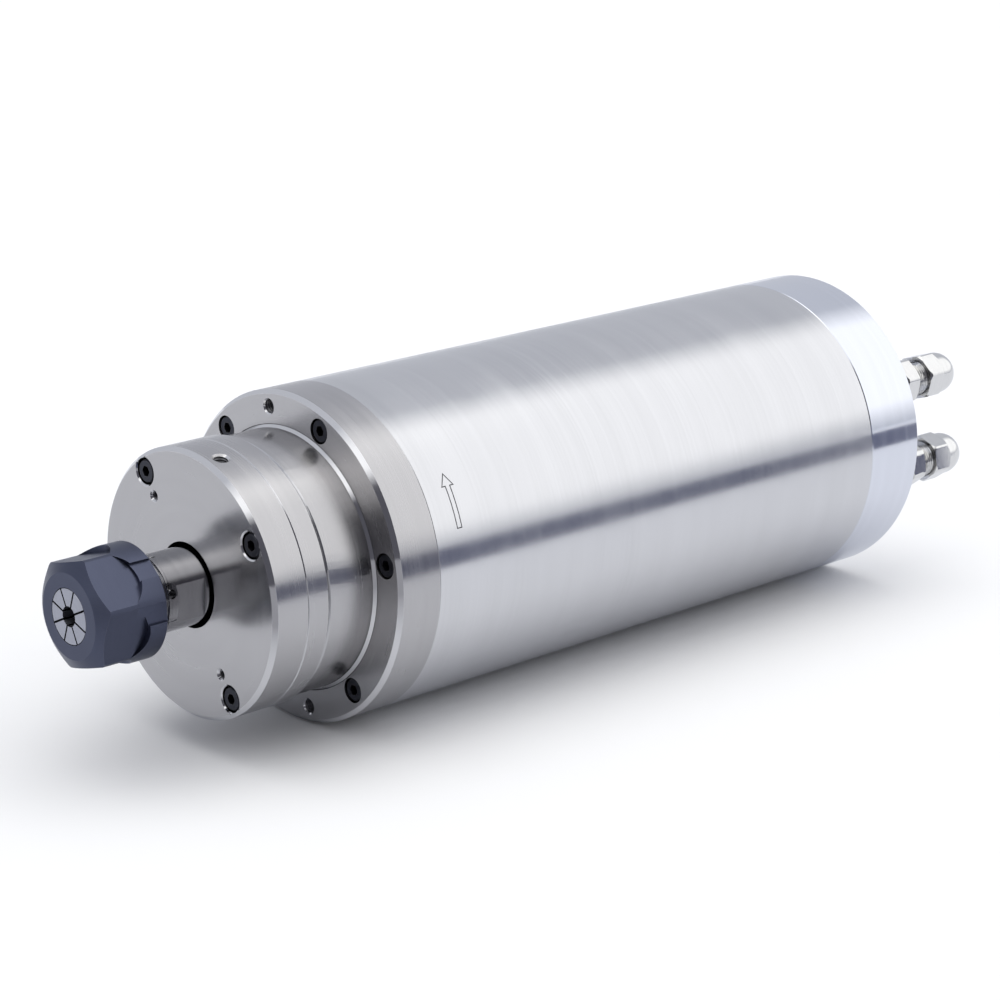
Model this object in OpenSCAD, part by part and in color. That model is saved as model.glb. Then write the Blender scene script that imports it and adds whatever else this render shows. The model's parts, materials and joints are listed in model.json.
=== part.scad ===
// Water-cooled milling spindle with a slotted spring collet. The shaft turns about X, the nose
// points towards -X, +Z is up, and the origin is the centre of the flange's front face.
// Angles round the axis start at +Z and grow towards -Y.

/* [Body] */
// Outer diameter of the flange, the body tube and the rear cap
body_d = 100; // [88:0.5:120]
// Wall of the body tube
tube_wall = 3.2; // [2.6:0.1:3.6]
// Length of the body tube
tube_l = 189.5; // [165:0.5:260]
// Thickness of the front flange
flange_t = 15; // [13.5:0.5:18]
// Chamfer on the outer edges of the flange and the nose
edge_chamfer = 1.2; // [0.4:0.1:2]
// Length of the rear cap
rear_cap_l = 23.5; // [22:0.5:30]
// Thickness of the rear cap's end plate
cap_plate_t = 8; // [7:0.5:9.5]
// Radial thickness of the rear cap's side wall
cap_wall = 16; // [15:0.5:17]
// Chamfer on the rear edge of the rear cap
cap_chamfer = 0.8; // [0.3:0.1:1.5]

/* [Nose] */
// Radial step from the flange's edge to the front cover and the clamp ring
nose_step = 10; // [9:0.25:11]
// Radial step from the flange's edge to the neck in front of the flange
neck_step = 11; // [10.5:0.25:12]
// Length of the neck in front of the flange
neck_l = 17; // [15:0.5:22]
// Length of the clamp ring
clamp_ring_l = 8; // [7:0.5:12]
// Length of the front cover
cover_l = 12; // [11:0.5:15]
// Depth of the room for the lock nut inside the front cover
cover_room_l = 8; // [6:0.5:9]
// Diameter of the room for the lock nut inside the front cover
cover_room_d = 40; // [38:0.5:46]
// Small chamfer on the seams of the nose
seam_chamfer = 0.25; // [0.1:0.05:0.5]
// Width of the turned relief in the flange's face, round the neck
relief_w = 1; // [0.5:0.1:1.1]
// Depth of the turned relief in the flange's face
relief_depth = 0.6; // [0.2:0.1:1]

/* [Shaft] */
// Diameter of the bare neck of the shaft
shaft_neck_d = 23; // [21:0.5:24]
// Radial gap between the shaft's neck and the front cover
cover_gap = 1.2; // [0.5:0.1:1.5]
// Width across the two spanner flats
flat_af = 20; // [19:0.5:21]
// Length of the spanner flats
flat_l = 10; // [7:0.5:11]
// Distance from the front cover's face to the flats
flat_gap = 1.5; // [1:0.25:2.5]
// Angle of the first spanner flat
flat_angle = 94; // [0:1:179]
// Diameter of the thread on the shaft's nose
nose_thread_d = 25; // [24.5:0.1:25]
// Length of the thread on the shaft's nose
nose_thread_l = 19.4; // [17:0.2:20.4]
// Diameter of the small pin hole behind the thread
pin_hole_d = 2.8; // [1.5:0.1:3.2]
// Depth of the small pin hole
pin_hole_depth = 2.4; // [1:0.1:2.6]
// Angle of the small pin hole
pin_hole_angle = 75; // [0:1:359]
// Diameter of the shoulder behind the front bearings
shoulder_d = 30; // [29:0.5:32]
// Diameter of the shaft behind the rotor
rear_journal_d = 22; // [20:0.5:23]
// Diameter of the bore behind the collet's socket
back_bore_d = 10; // [6:0.5:12]
// Depth of the bore behind the collet's socket
back_bore_l = 10; // [4:0.5:20]

/* [Collet and nut] */
// Distance from the front cover's face to the collet nut's face
nut_out_l = 40.5; // [40:0.5:42]
// Length of the collet nut
nut_l = 21.75; // [20.5:0.25:22.25]
// Width across the flats of the collet nut
nut_af = 30; // [29:0.25:31]
// Diameter of the collet nut's collar
nut_d = 34; // [33:0.25:36]
// Length of the collet nut's notched collar
nut_collar_l = 10; // [8:0.25:11]
// Diameter of the flat face of the collet nut
nut_face_d = 25; // [22:0.5:28]
// Length of the cone between the nut's face and its hexagon
nut_cone_l = 2.6; // [1.5:0.1:4]
// Length of a flat of the hexagon along its middle
nut_flat_l = 15.5; // [14:0.25:17]
// Diameter of the cutter that mills the flats and leaves their round ends
nut_cutter_d = 20; // [18:0.5:26]
// Angle of the first corner of the hexagon
nut_turn = 15.2; // [0:0.2:60]
// Number of notches round the collar
nut_notches = 8; // [4:1:10]
// Width of the notches
notch_w = 6; // [4:0.5:7]
// Depth of the notches
notch_depth = 1.2; // [0.6:0.1:1.6]
// Angle of the first notch
notch_turn = 42; // [0:1:90]
// Length of the collet
collet_l = 31.5; // [29:0.5:33]
// Largest diameter of the collet
collet_d = 21; // [20.6:0.1:21.2]
// Diameter of the collet's front face
collet_face_d = 16; // [15.5:0.1:16.4]
// Diameter of the collet's front lip
collet_lip_d = 19.4; // [18.8:0.1:19.8]
// Diameter of the collet's groove
collet_groove_d = 17.6; // [17:0.1:18.2]
// Width of the collet's groove
collet_groove_w = 2.2; // [1.8:0.1:2.6]
// Diameter of the tool bore in the collet
tool_d = 6; // [3:0.5:8]
// Length of the collet's bore that grips the tool
grip_l = 20; // [14:0.5:24]
// Diameter of the wider bore behind the grip
collet_back_d = 8.4; // [8.2:0.1:9.4]
// Number of slots cut from each end of the collet
collet_slots = 8; // [6:1:8]
// Width of the slots in the collet
slot_w = 0.6; // [0.4:0.05:0.7]
// Angle of the first slot in the collet's face
slot_turn = 19.5; // [0:0.5:45]
// Length that the slots leave whole at their far end
slot_bridge = 4; // [3:0.5:6]

/* [Front bearings] */
// Bore of the front bearings
fb_bore_d = 25; // [25:0.1:25.6]
// Outer diameter of the front bearings
fb_outer_d = 47; // [46:0.5:49]
// Width of one front bearing
fb_w = 12; // [11:0.5:12.5]
// Ball diameter in the front bearings
fb_ball_d = 6.2; // [5.6:0.1:6.6]
// Number of balls in one front bearing
fb_balls = 14; // [10:1:15]
// Width of the spacers between the front bearings
fb_spacer_w = 2; // [1.5:0.25:3]
// Depth at which the front bearings sit inside the neck
fb_inset = 2; // [1.5:0.25:3]
// Radial depth of the lips that hold the outer rings
fb_lip = 3; // [2.5:0.25:3.2]
// Length of the lip behind the front bearings
fb_lip_l = 3; // [2:0.25:4]
// Length of the slinger in front of the front bearings
slinger_l = 7; // [6:0.25:8]
// Outer diameter of the slinger
slinger_d = 36.8; // [36:0.1:37.2]
// Gap of the labyrinth between the slinger and the clamp ring
slinger_gap = 0.5; // [0.3:0.05:0.8]
// Length of the front lock nut
front_nut_l = 7; // [6:0.25:8]
// Diameter of the front lock nut
front_nut_d = 34; // [32:0.5:35]

/* [Rear bearings] */
// Bore of the rear bearings
rb_bore_d = 17; // [16:0.5:18]
// Outer diameter of the rear bearings
rb_outer_d = 35; // [34:0.5:36]
// Width of one rear bearing
rb_w = 10; // [9:0.5:10.5]
// Ball diameter in the rear bearings
rb_ball_d = 4.8; // [4.4:0.1:5.2]
// Number of balls in one rear bearing
rb_balls = 12; // [9:1:12]
// Thickness of the lip that holds the preload spring
rb_lip_l = 2; // [1.5:0.25:3]
// Height of the preload spring
spring_h = 1; // [0.8:0.1:1.5]
// Wall of the hub round the rear bearings
hub_wall = 5; // [4:0.5:6]
// Length of the rear lock nut
rear_nut_l = 5; // [4:0.25:5.5]
// Diameter of the rear lock nut
rear_nut_d = 25; // [23:0.5:27]
// Width of the slots in both lock nuts
lock_slot_w = 4; // [3:0.5:5]
// Depth of the slots in both lock nuts
lock_slot_depth = 1.8; // [1:0.1:2]
// Thickness of the rear bearing frame
rear_frame_t = 16.5; // [15:0.5:20]
// Length of the register rings that centre the water jacket
register_l = 6; // [5:0.5:8]
// Radial thickness of the register rings
register_t = 4.5; // [3:0.5:5.5]

/* [Motor] */
// Bore of the stator core
stator_bore_d = 41; // [40.5:0.5:43]
// Number of slots in the stator core
stator_slots = 12; // [9:3:12]
// Width of the stator slots
stator_slot_w = 4.4; // [3:0.2:5]
// Thickness of the stator core's tooth tips
tooth_tip_t = 1.5; // [1:0.25:2]
// Thickness of the stator core behind the slots
back_iron_t = 4.5; // [3.5:0.25:6]
// Length of the end windings
winding_l = 20; // [12:0.5:24]
// Gap between the end windings and what lies next to them
winding_gap = 3; // [2:0.5:6]
// Air gap between rotor and stator
air_gap = 0.5; // [0.3:0.05:0.8]
// Number of bars in the rotor cage
rotor_bars = 16; // [10:1:20]
// Diameter of the bars in the rotor cage
rotor_bar_d = 3; // [2:0.2:3.2]
// Length of the rotor cage's end rings
end_ring_l = 6; // [4:0.5:8]
// Length of the balance rings
balance_ring_l = 5; // [4:0.5:7]
// Depth of the drillings in the balance rings
balance_drill_l = 2.5; // [1:0.25:3]
// Diameter of the rotor's seat on the shaft
rotor_seat_d = 28; // [27:0.5:28.5]

/* [Water jacket] */
// Wall of the water jacket
jacket_wall = 9.3; // [9:0.1:9.8]
// Width of the water channels
channel_w = 8; // [5:0.5:9]
// Depth of the water channels
channel_depth = 2.6; // [2:0.1:2.9]
// Distance from one water channel to the next
channel_pitch = 11; // [10.5:0.5:16]
// Length of the solid rims of the water jacket
jacket_rim = 18; // [17.5:0.5:22]
// Diameter of the drilled passages in the water jacket
passage_d = 3; // [2:0.2:3.2]
// Diameter of the water bores in the rear frame and the rear cap
port_bore_d = 6; // [5:0.25:6.2]
// Distance of the hose fittings' axes from the body's edge
port_inset = 8; // [7.75:0.25:8.25]
// Angle of the water inlet
inlet_angle = 62.5; // [60:0.5:64]
// Angle of the water outlet
outlet_angle = 101; // [98:0.5:104]
// Section of the sealing rings
seal_d = 1.9; // [1.5:0.1:2.1]
// Thickness of the face seals round the water bores
face_seal_t = 0.8; // [0.5:0.1:1.2]
// Radial width of the face seals
face_seal_w = 1.3; // [1:0.1:1.5]

/* [Screws and tapped holes] */
// Thread of the screws in the nose, the flange and the rear cap
screw_d = 4; // [3.4:0.1:4]
// Head diameter of these screws
screw_head_d = 7; // [6.5:0.1:7.2]
// Head height of these screws
screw_head_h = 4; // [3.5:0.1:4.2]
// Width across the flats of the screws' hexagon socket
screw_socket_af = 3; // [2.5:0.1:3.2]
// Diameter of the counterbores
counterbore_d = 7.6; // [7.4:0.1:8.2]
// Depth of the counterbores
counterbore_depth = 4.4; // [4.3:0.1:5]
// Clearance holes for these screws
screw_hole_d = 4.5; // [4.2:0.1:4.6]
// Number of flange screws
flange_screws_n = 6; // [3:1:6]
// Distance of the flange screws from the flange's edge
flange_screw_inset = 6; // [6:0.25:6.25]
// Angle of the first flange screw
flange_screw_turn = 20; // [15:1:25]
// Length of the flange screws
flange_screw_l = 20; // [16:1:21]
// Number of cover screws
cover_screws_n = 4; // [4:1:4]
// Distance of the cover screws from the cover's edge
cover_screw_inset = 5; // [4.75:0.25:5.5]
// Angle of the first cover screw
cover_screw_turn = 58; // [50:1:64]
// Length of the cover screws
cover_screw_l = 25; // [20:1:28]
// Number of rear cap screws
rear_screws_n = 4; // [4:1:4]
// Distance of the rear cap screws from the cap's edge
rear_screw_inset = 6; // [6:0.25:6.25]
// Length of the rear cap screws
rear_screw_l = 45; // [43:1:46]
// Core diameter of the two tapped holes in the flange
flange_tap_d = 4.2; // [3:0.1:5]
// Distance of the two tapped holes from the flange's edge
flange_tap_inset = 5; // [4.5:0.25:5.5]
// Angle of the first tapped hole in the flange
flange_tap_turn = 350; // [346:1:354]
// Depth of the tapped holes in the flange
flange_tap_depth = 12; // [8:0.5:12.5]
// Core diameter of the two jacking holes in the front cover
jack_d = 2.5; // [2:0.1:3.3]
// Distance of the two jacking holes from the cover's edge
jack_inset = 12.6; // [12.2:0.2:13.4]
// Angle of the first jacking hole
jack_turn = 148; // [140:1:156]
// Diameter by which a tapped hole's mouth is opened
tap_mouth = 1.2; // [0.6:0.1:1.6]
// Core diameter of the air port in the front cover's rim
air_port_d = 4.2; // [3:0.1:5]
// Distance from the front cover's face to the air port
air_port_x = 5.5; // [5:0.25:6.5]
// Angle of the air port
air_port_angle = 15; // [8:1:22]

/* [Hose fittings] */
// Thread by which a fitting sits in the rear cap
fitting_thread_d = 10; // [9:0.5:10.5]
// Length of that thread
fitting_thread_l = 8; // [6:0.5:9]
// Width across the flats of the fitting's hexagon
fitting_af = 14; // [13.5:0.25:14.5]
// Length of the fitting's hexagon
fitting_hex_l = 6.5; // [5:0.25:8]
// Thread of the fitting's neck
fitting_neck_d = 12; // [11.5:0.1:12.2]
// Length of the fitting's neck
fitting_neck_l = 13; // [11:0.5:16]
// Length of the neck that shows below the hose nut
neck_shown_l = 5.5; // [4:0.25:7]
// Bore of the fitting
fitting_bore_d = 5; // [3.5:0.25:6]
// Outer diameter of the hose that the fitting takes
hose_d = 8; // [7:0.1:8.2]
// Depth at which the hose stops in the fitting's neck
hose_stop_l = 6; // [4:0.5:8]
// Width across the flats of the hose nut
hose_nut_af = 14; // [13.5:0.25:15]
// Length of the hose nut's hexagon
hose_nut_hex_l = 7; // [6:0.25:9]
// Length of the whole hose nut
hose_nut_l = 15.3; // [14:0.1:16]
// Length of the clamping ferrule
ferrule_l = 3; // [2:0.25:4]

/* [Power socket] */
// Place of the power socket's axis across the rear cap
socket_y = 20; // [19:0.5:21]
// Height of the power socket's axis
socket_z = -2; // [-4:0.5:0]
// Side of the square flange of the power socket
socket_flange_w = 22; // [21.5:0.5:23]
// Thickness of that flange
socket_flange_t = 2; // [1.5:0.25:3]
// Cut of its corners, along the diagonal
socket_corner = 2; // [1:0.25:3]
// Thickness of the gasket under the flange
gasket_t = 0.8; // [0.5:0.1:1.5]
// Thread of the power socket's shell
socket_thread_d = 16; // [15.5:0.1:16]
// Length of the shell outside the flange
socket_shell_l = 12; // [11:0.5:14]
// Wall of the shell
socket_wall = 1.5; // [1.2:0.1:1.8]
// Depth of the insulator's face inside the shell
socket_recess = 10; // [9.5:0.5:11]
// Number of contact pins
socket_pins_n = 4; // [3:1:4]
// Diameter of the contact pins
socket_pin_d = 1.8; // [1.4:0.1:2.1]
// Circle of the contact pins
socket_pin_circle = 6.4; // [6:0.1:7]
// Length of the contact pins in front of the insulator
socket_pin_l = 5; // [4:0.25:5.4]
// Length of the solder ends behind the insulator
solder_l = 2.5; // [1.5:0.25:2.5]
// Thread of the socket's four screws
small_screw_d = 2.5; // [2:0.1:2.5]
// Length of the socket's four screws
small_screw_l = 8; // [6:0.5:8.5]
// Depth of the tapped holes for them in the rear cap
small_hole_depth = 7; // [6:0.25:7]
// Distance of these screws from the socket's axis, along each side
small_screw_at = 8.2; // [8:0.1:8.6]
// Diameter of the motor leads
lead_d = 1.6; // [1.2:0.1:1.8]
// Distance of the motor leads from the spindle's axis
lead_y = 29; // [28:0.5:30]
// Diameter of the hole for the leads in the rear frame
lead_hole_d = 9; // [8:0.5:10]

/* [Clearances] */
// Radial gap between turned parts that slide together at assembly
seat_gap = 0.03; // [0.01:0.01:0.06]
// Radial gap between a thread and its mate
thread_gap = 0.05; // [0.02:0.01:0.1]
// Gap between a ball and its raceway
ball_gap = 0.08; // [0.04:0.01:0.15]
// Gap between the collet's cone and its socket
cone_gap = 0.05; // [0.02:0.01:0.1]
// Gap between the faces of the two rear bearings
rb_gap = 0.02; // [0.01:0.01:0.1]

/* [Hidden] */
$fn = 72;
// Standard angles of the collet's two cones
collet_angle = 8;
face_angle = 30;
// Overlap by which a cutter runs past a face
cut = 1;

// Radii and stations along the axis, from the flange's front face
body_r = body_d / 2;
nose_r = body_r - nose_step;
neck_r = body_r - neck_step;
jacket_r = body_r - tube_wall;
jacket_bore_r = jacket_r - jacket_wall;
neck_x = -neck_l;
ring_x = neck_x - clamp_ring_l;
face_x = ring_x - cover_l;
tube_x = flange_t;
cap_x = tube_x + tube_l;
rear_x = cap_x + rear_cap_l;
plate_x = rear_x - cap_plate_t;
frame_x = cap_x - rear_frame_t;

// Stations of the front bearings
fb_x = neck_x + fb_inset;
fb_spacer_x = fb_x + fb_w;
fb_second_x = fb_spacer_x + fb_spacer_w;
shoulder_x = fb_second_x + fb_w;
slinger_x = fb_x - slinger_l;
front_nut_x = slinger_x - front_nut_l;
fb_bore_r = fb_bore_d / 2;
fb_outer_r = fb_outer_d / 2;
fb_pitch_r = (fb_bore_r + fb_outer_r) / 2;
clamp_bore_r = slinger_d / 2 + slinger_gap;

// Stations of the rear bearings
rb_x = frame_x + rb_lip_l + spring_h;
rb_second_x = rb_x + rb_w + rb_gap;
rb_end_x = rb_second_x + rb_w;
rb_bore_r = rb_bore_d / 2;
rb_outer_r = rb_outer_d / 2;
rb_pitch_r = (rb_bore_r + rb_outer_r) / 2;
hub_r = rb_outer_r + hub_wall;
shaft_end_x = rb_end_x + rear_nut_l + 0.5;

// Stations of the motor
spigot_x = tube_x + register_l;
stator_x = spigot_x + winding_gap + winding_l;
stator_end_x = frame_x - register_l - winding_gap - winding_l;
stator_bore_r = stator_bore_d / 2;
rotor_r = stator_bore_r - air_gap;
slot_floor_r = jacket_bore_r - back_iron_t;
rotor_x = stator_x - end_ring_l - balance_ring_l;
rotor_end_x = stator_end_x + end_ring_l + balance_ring_l;
rotor_seat_r = rotor_seat_d / 2;

// Stations of the collet and its nut
nut_x = face_x - nut_out_l;
nut_end_x = nut_x + nut_l;
collar_x = nut_end_x - nut_collar_l;
lip_x = nut_x + (collet_lip_d - collet_face_d) / 2 / tan(face_angle);
head_x = lip_x + collet_groove_w;
cone_x = head_x + 0.5;
shaft_x = cone_x + 0.5;
thread_end_x = shaft_x + nose_thread_l;
collet_end_x = nut_x + collet_l;
nose_thread_r = nose_thread_d / 2;
neck_shaft_r = shaft_neck_d / 2;

// Places of the water channels and the screws
channel_first_x = tube_x + jacket_rim;
channel_room = frame_x - jacket_rim - channel_first_x;
channels = floor((channel_room - channel_w) / channel_pitch) + 1;
channel_start = channel_first_x + (channel_room - (channels - 1) * channel_pitch - channel_w) / 2;
port_r = body_r - port_inset;
flange_screw_r = body_r - flange_screw_inset;
flange_tap_r = body_r - flange_tap_inset;
rear_screw_r = body_r - rear_screw_inset;
cover_screw_r = nose_r - cover_screw_inset;
jack_r = nose_r - jack_inset;
port_angles = [inlet_angle, outlet_angle];
seal_xs = [tube_x + jacket_rim - 3.5, frame_x - jacket_rim + 3.5];
cover_seat_x = face_x + counterbore_depth;
rear_seat_x = rear_x - counterbore_depth;
rear_screw_turn = (inlet_angle + outlet_angle) / 2 + 45;

// Stations of a hose fitting and the power socket
fitting_neck_x = rear_x + fitting_hex_l;
hose_nut_x = fitting_neck_x + neck_shown_l;
fitting_end_x = fitting_neck_x + fitting_neck_l;
dome_x = hose_nut_x + hose_nut_hex_l;
hose_nut_end_x = hose_nut_x + hose_nut_l;
ferrule_x = fitting_end_x + 0.2;
ferrule_r = fitting_neck_d / 2 - 0.6;
hose_hole_r = hose_d / 2 + 0.1;
socket_seat_x = rear_x + gasket_t;
socket_face_x = socket_seat_x + socket_flange_t;
socket_end_x = socket_face_x + socket_shell_l;
insulator_x = socket_end_x - socket_recess;
socket_in_r = socket_thread_d / 2 - socket_wall;
pin_step = 360 / socket_pins_n;
lead_pins = [socket_pins_n - 1, 0, 1];

steel = [0.72, 0.71, 0.70];
bright_steel = [0.80, 0.81, 0.82];
bearing_steel = [0.62, 0.64, 0.67];
dark_steel = [0.12, 0.13, 0.16];
black_oxide = [0.10, 0.10, 0.11];
aluminium = [0.78, 0.81, 0.86];
nickel = [0.82, 0.81, 0.78];
copper = [0.70, 0.40, 0.20];
lamination = [0.38, 0.39, 0.41];
rubber = [0.08, 0.08, 0.08];
insulator = [0.15, 0.15, 0.16];
brown_cage = [0.62, 0.44, 0.22];

// A cylinder along X
module rod(x0, x1, r) {
    translate([x0, 0, 0]) rotate([0, 90, 0]) cylinder(h = x1 - x0, r = r);
}

// A straight hollow cylinder along X
module tube(x0, x1, inner_r, outer_r) {
    difference() {
        rod(x0, x1, outer_r);
        rod(x0 - cut, x1 + cut, inner_r);
    }
}

// A shape turned about X from points that are [radius, x]
module turned(points) {
    rotate([0, 90, 0]) rotate_extrude() polygon(points);
}

// A cone along X
module taper(x0, x1, r0, r1) {
    translate([x0, 0, 0]) rotate([0, 90, 0]) cylinder(h = x1 - x0, r1 = r0, r2 = r1);
}

// A hexagonal bar along X, with its first corner at an angle
module hex_bar(x0, x1, af, turn) {
    translate([x0, 0, 0]) rotate([turn, 0, 0]) rotate([0, 90, 0])
        cylinder(h = x1 - x0, d = af / cos(30), $fn = 6);
}

// Copies round the axis; a copy's own +Z points outwards
module around(count, first, radius) {
    for (k = [0:count - 1])
        at_angle(first + k * 360 / count, radius) children();
}

// One copy at an angle and a radius
module at_angle(angle, radius) {
    rotate([angle, 0, 0]) translate([0, 0, radius]) children();
}

// A tapped hole along +X with an opened mouth at x0, as a cutter
module tapped(x0, depth, core_d) {
    mouth_r = (core_d + tap_mouth) / 2;
    rod(x0, x0 + depth, core_d / 2);
    taper(x0 - cut, x0 + mouth_r - core_d / 2, mouth_r + cut, core_d / 2);
}

// A socket cap screw whose head sits on x = 0, with its shank along +X
module cap_screw(d, head_d, head_h, length, socket_af) {
    head_r = head_d / 2;
    edge = head_h / 10;
    difference() {
        union() {
            turned([[0, 0], [head_r, 0], [head_r, edge - head_h], [head_r - edge, -head_h],
                    [0, -head_h]]);
            turned([[0, 0], [d / 2, 0], [d / 2, length - edge], [d / 2 - edge, length],
                    [0, length]]);
        }
        hex_bar(-head_h - cut, -head_h / 2, socket_af, 0);
    }
}

// The hole that takes such a screw: a counterbore, then a clearance hole up to x1
module screw_hole(seat_x, x1, counter_d) {
    rod(seat_x - counterbore_depth - cut, seat_x, counter_d / 2);
    rod(seat_x - cut, x1, screw_hole_d / 2);
}

// Front cover: closes the nose, leaves room for the lock nut and lets air in from its rim
module front_cover() {
    bore_r = neck_shaft_r + cover_gap;
    room_r = cover_room_d / 2;
    color(steel) difference() {
        turned([[bore_r, face_x], [nose_r - edge_chamfer, face_x], [nose_r, face_x + edge_chamfer],
                [nose_r, ring_x - seam_chamfer], [nose_r - seam_chamfer, ring_x],
                [room_r, ring_x], [room_r, ring_x - cover_room_l], [bore_r, ring_x - cover_room_l]]);
        around(cover_screws_n, cover_screw_turn, cover_screw_r)
            screw_hole(cover_seat_x, ring_x + cut, counterbore_d + 0.4);
        around(2, jack_turn, jack_r) tapped(face_x, cover_l + cut, jack_d);
        rotate([air_port_angle, 0, 0]) translate([face_x + air_port_x, 0, 0]) rotate([0, 90, 0])
            tapped(-nose_r, nose_r - room_r + cut, air_port_d);
    }
}

// Cover screws: they hold cover and clamp ring to the front housing
module cover_screws() {
    color(black_oxide) around(cover_screws_n, cover_screw_turn, cover_screw_r)
        translate([cover_seat_x, 0, 0])
            cap_screw(screw_d, screw_head_d, screw_head_h, cover_screw_l, screw_socket_af);
}

// Clamp ring: its spigot holds the front bearings, its bore is half of the labyrinth
module clamp_ring() {
    spigot_r = fb_outer_r - seat_gap;
    lip_r = fb_outer_r - fb_lip + 0.1;
    color(steel) difference() {
        turned([[clamp_bore_r, ring_x], [nose_r - seam_chamfer, ring_x],
                [nose_r, ring_x + seam_chamfer], [nose_r, neck_x - seam_chamfer],
                [nose_r - seam_chamfer, neck_x], [spigot_r, neck_x], [spigot_r, fb_x],
                [lip_r, fb_x], [lip_r, neck_x], [clamp_bore_r, neck_x]]);
        around(cover_screws_n, cover_screw_turn, cover_screw_r)
            rod(ring_x - cut, neck_x + cut, screw_hole_d / 2);
    }
}

// Front housing: neck, flange and the register that centres the water jacket
module front_housing() {
    register_r = jacket_bore_r - seat_gap;
    register_in_r = register_r - register_t;
    lip_r = fb_outer_r - fb_lip;
    lip_end_x = shoulder_x + fb_lip_l;
    color(steel) difference() {
        turned([[fb_outer_r, neck_x], [neck_r, neck_x], [neck_r, relief_depth],
                [neck_r + relief_w - relief_depth / 2, relief_depth], [neck_r + relief_w, 0],
                [body_r - edge_chamfer, 0],
                [body_r, edge_chamfer], [body_r, tube_x], [register_r, tube_x],
                [register_r, spigot_x], [register_in_r, spigot_x], [register_in_r, lip_end_x],
                [lip_r, lip_end_x], [lip_r, shoulder_x], [fb_outer_r, shoulder_x]]);
        around(cover_screws_n, cover_screw_turn, cover_screw_r)
            rod(neck_x - cut, cover_seat_x + cover_screw_l + cut, screw_d / 2 + thread_gap);
        around(flange_screws_n, flange_screw_turn, flange_screw_r)
            screw_hole(counterbore_depth, tube_x + cut, counterbore_d);
        around(2, flange_tap_turn, flange_tap_r) rod(-cut, flange_tap_depth, flange_tap_d / 2);
    }
}

// Flange screws: they pull the front housing onto the water jacket
module flange_screws() {
    color(black_oxide) around(flange_screws_n, flange_screw_turn, flange_screw_r)
        translate([counterbore_depth, 0, 0])
            cap_screw(screw_d, screw_head_d, screw_head_h, flange_screw_l, screw_socket_af);
}

// Land radii of a bearing's rings lie this share of a ball's radius from the pitch circle
function land(ball_d) = 0.45 * ball_d / 2;

// Inner ring of a ball bearing with its groove
module inner_ring(x, w, bore_r, pitch_r, ball_d) {
    edge = 0.4;
    out_r = pitch_r - land(ball_d);
    difference() {
        turned([[bore_r, x + edge], [bore_r + edge, x], [out_r, x], [out_r, x + w],
                [bore_r + edge, x + w], [bore_r, x + w - edge]]);
        rotate([0, 90, 0]) rotate_extrude() translate([pitch_r, x + w / 2])
            circle(r = ball_d / 2 + ball_gap);
    }
}

// Outer ring of an angular contact bearing: one of its shoulders is ground away
module outer_ring(x, w, outer_r, pitch_r, ball_d) {
    edge = 0.4;
    in_r = pitch_r + land(ball_d);
    low_r = pitch_r + ball_d * 0.42;
    difference() {
        turned([[in_r, x], [outer_r - edge, x], [outer_r, x + edge], [outer_r, x + w - edge],
                [outer_r - edge, x + w], [low_r, x + w], [in_r, x + w / 2]]);
        rotate([0, 90, 0]) rotate_extrude() translate([pitch_r, x + w / 2])
            circle(r = ball_d / 2 + ball_gap);
    }
}

// Cage of a ball bearing with one round pocket for each ball
module cage(x, w, pitch_r, ball_d, count) {
    side = 0.32 * ball_d / 2;
    difference() {
        tube(x + 0.8, x + w - 0.8, pitch_r - side, pitch_r + side);
        around(count, 0, pitch_r - side - cut) translate([x + w / 2, 0, 0])
            cylinder(h = 2 * side + 2 * cut, r = ball_d / 2 + ball_gap);
    }
}

// The balls of one bearing
module balls(x, w, pitch_r, ball_d, count) {
    around(count, 0, pitch_r) translate([x + w / 2, 0, 0]) sphere(d = ball_d);
}

module front_outer_rings() {
    color(bearing_steel) for (x = [fb_x, fb_second_x])
        outer_ring(x, fb_w, fb_outer_r - seat_gap, fb_pitch_r, fb_ball_d);
}

module front_inner_rings() {
    color(bearing_steel) for (x = [fb_x, fb_second_x])
        inner_ring(x, fb_w, fb_bore_r, fb_pitch_r, fb_ball_d);
}

module front_cages() {
    color(brown_cage) for (x = [fb_x, fb_second_x])
        cage(x, fb_w, fb_pitch_r, fb_ball_d, fb_balls);
}

module front_balls() {
    color(bright_steel) for (x = [fb_x, fb_second_x])
        balls(x, fb_w, fb_pitch_r, fb_ball_d, fb_balls);
}

module rear_outer_rings() {
    color(bearing_steel) for (x = [rb_x, rb_second_x])
        outer_ring(x, rb_w, rb_outer_r - seat_gap, rb_pitch_r, rb_ball_d);
}

module rear_inner_rings() {
    color(bearing_steel) for (x = [rb_x, rb_second_x])
        inner_ring(x, rb_w, rb_bore_r, rb_pitch_r, rb_ball_d);
}

module rear_cages() {
    color(brown_cage) for (x = [rb_x, rb_second_x])
        cage(x, rb_w, rb_pitch_r, rb_ball_d, rb_balls);
}

module rear_balls() {
    color(bright_steel) for (x = [rb_x, rb_second_x])
        balls(x, rb_w, rb_pitch_r, rb_ball_d, rb_balls);
}

// Spacers that set the preload between the front bearings
module front_outer_spacer() {
    color(steel) tube(fb_spacer_x, fb_second_x, fb_outer_r - fb_lip + 0.1, fb_outer_r - seat_gap);
}

module front_inner_spacer() {
    color(steel) tube(fb_spacer_x, fb_second_x, fb_bore_r, fb_pitch_r - 0.7 * fb_ball_d / 2);
}

// Body tube: the ground shell that a clamp bracket grips
module body_tube() {
    color(bright_steel) difference() {
        turned([[jacket_r, tube_x], [body_r - seam_chamfer, tube_x], [body_r, tube_x + seam_chamfer],
                [body_r, cap_x - seam_chamfer], [body_r - seam_chamfer, cap_x], [jacket_r, cap_x]]);
    }
}

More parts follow.
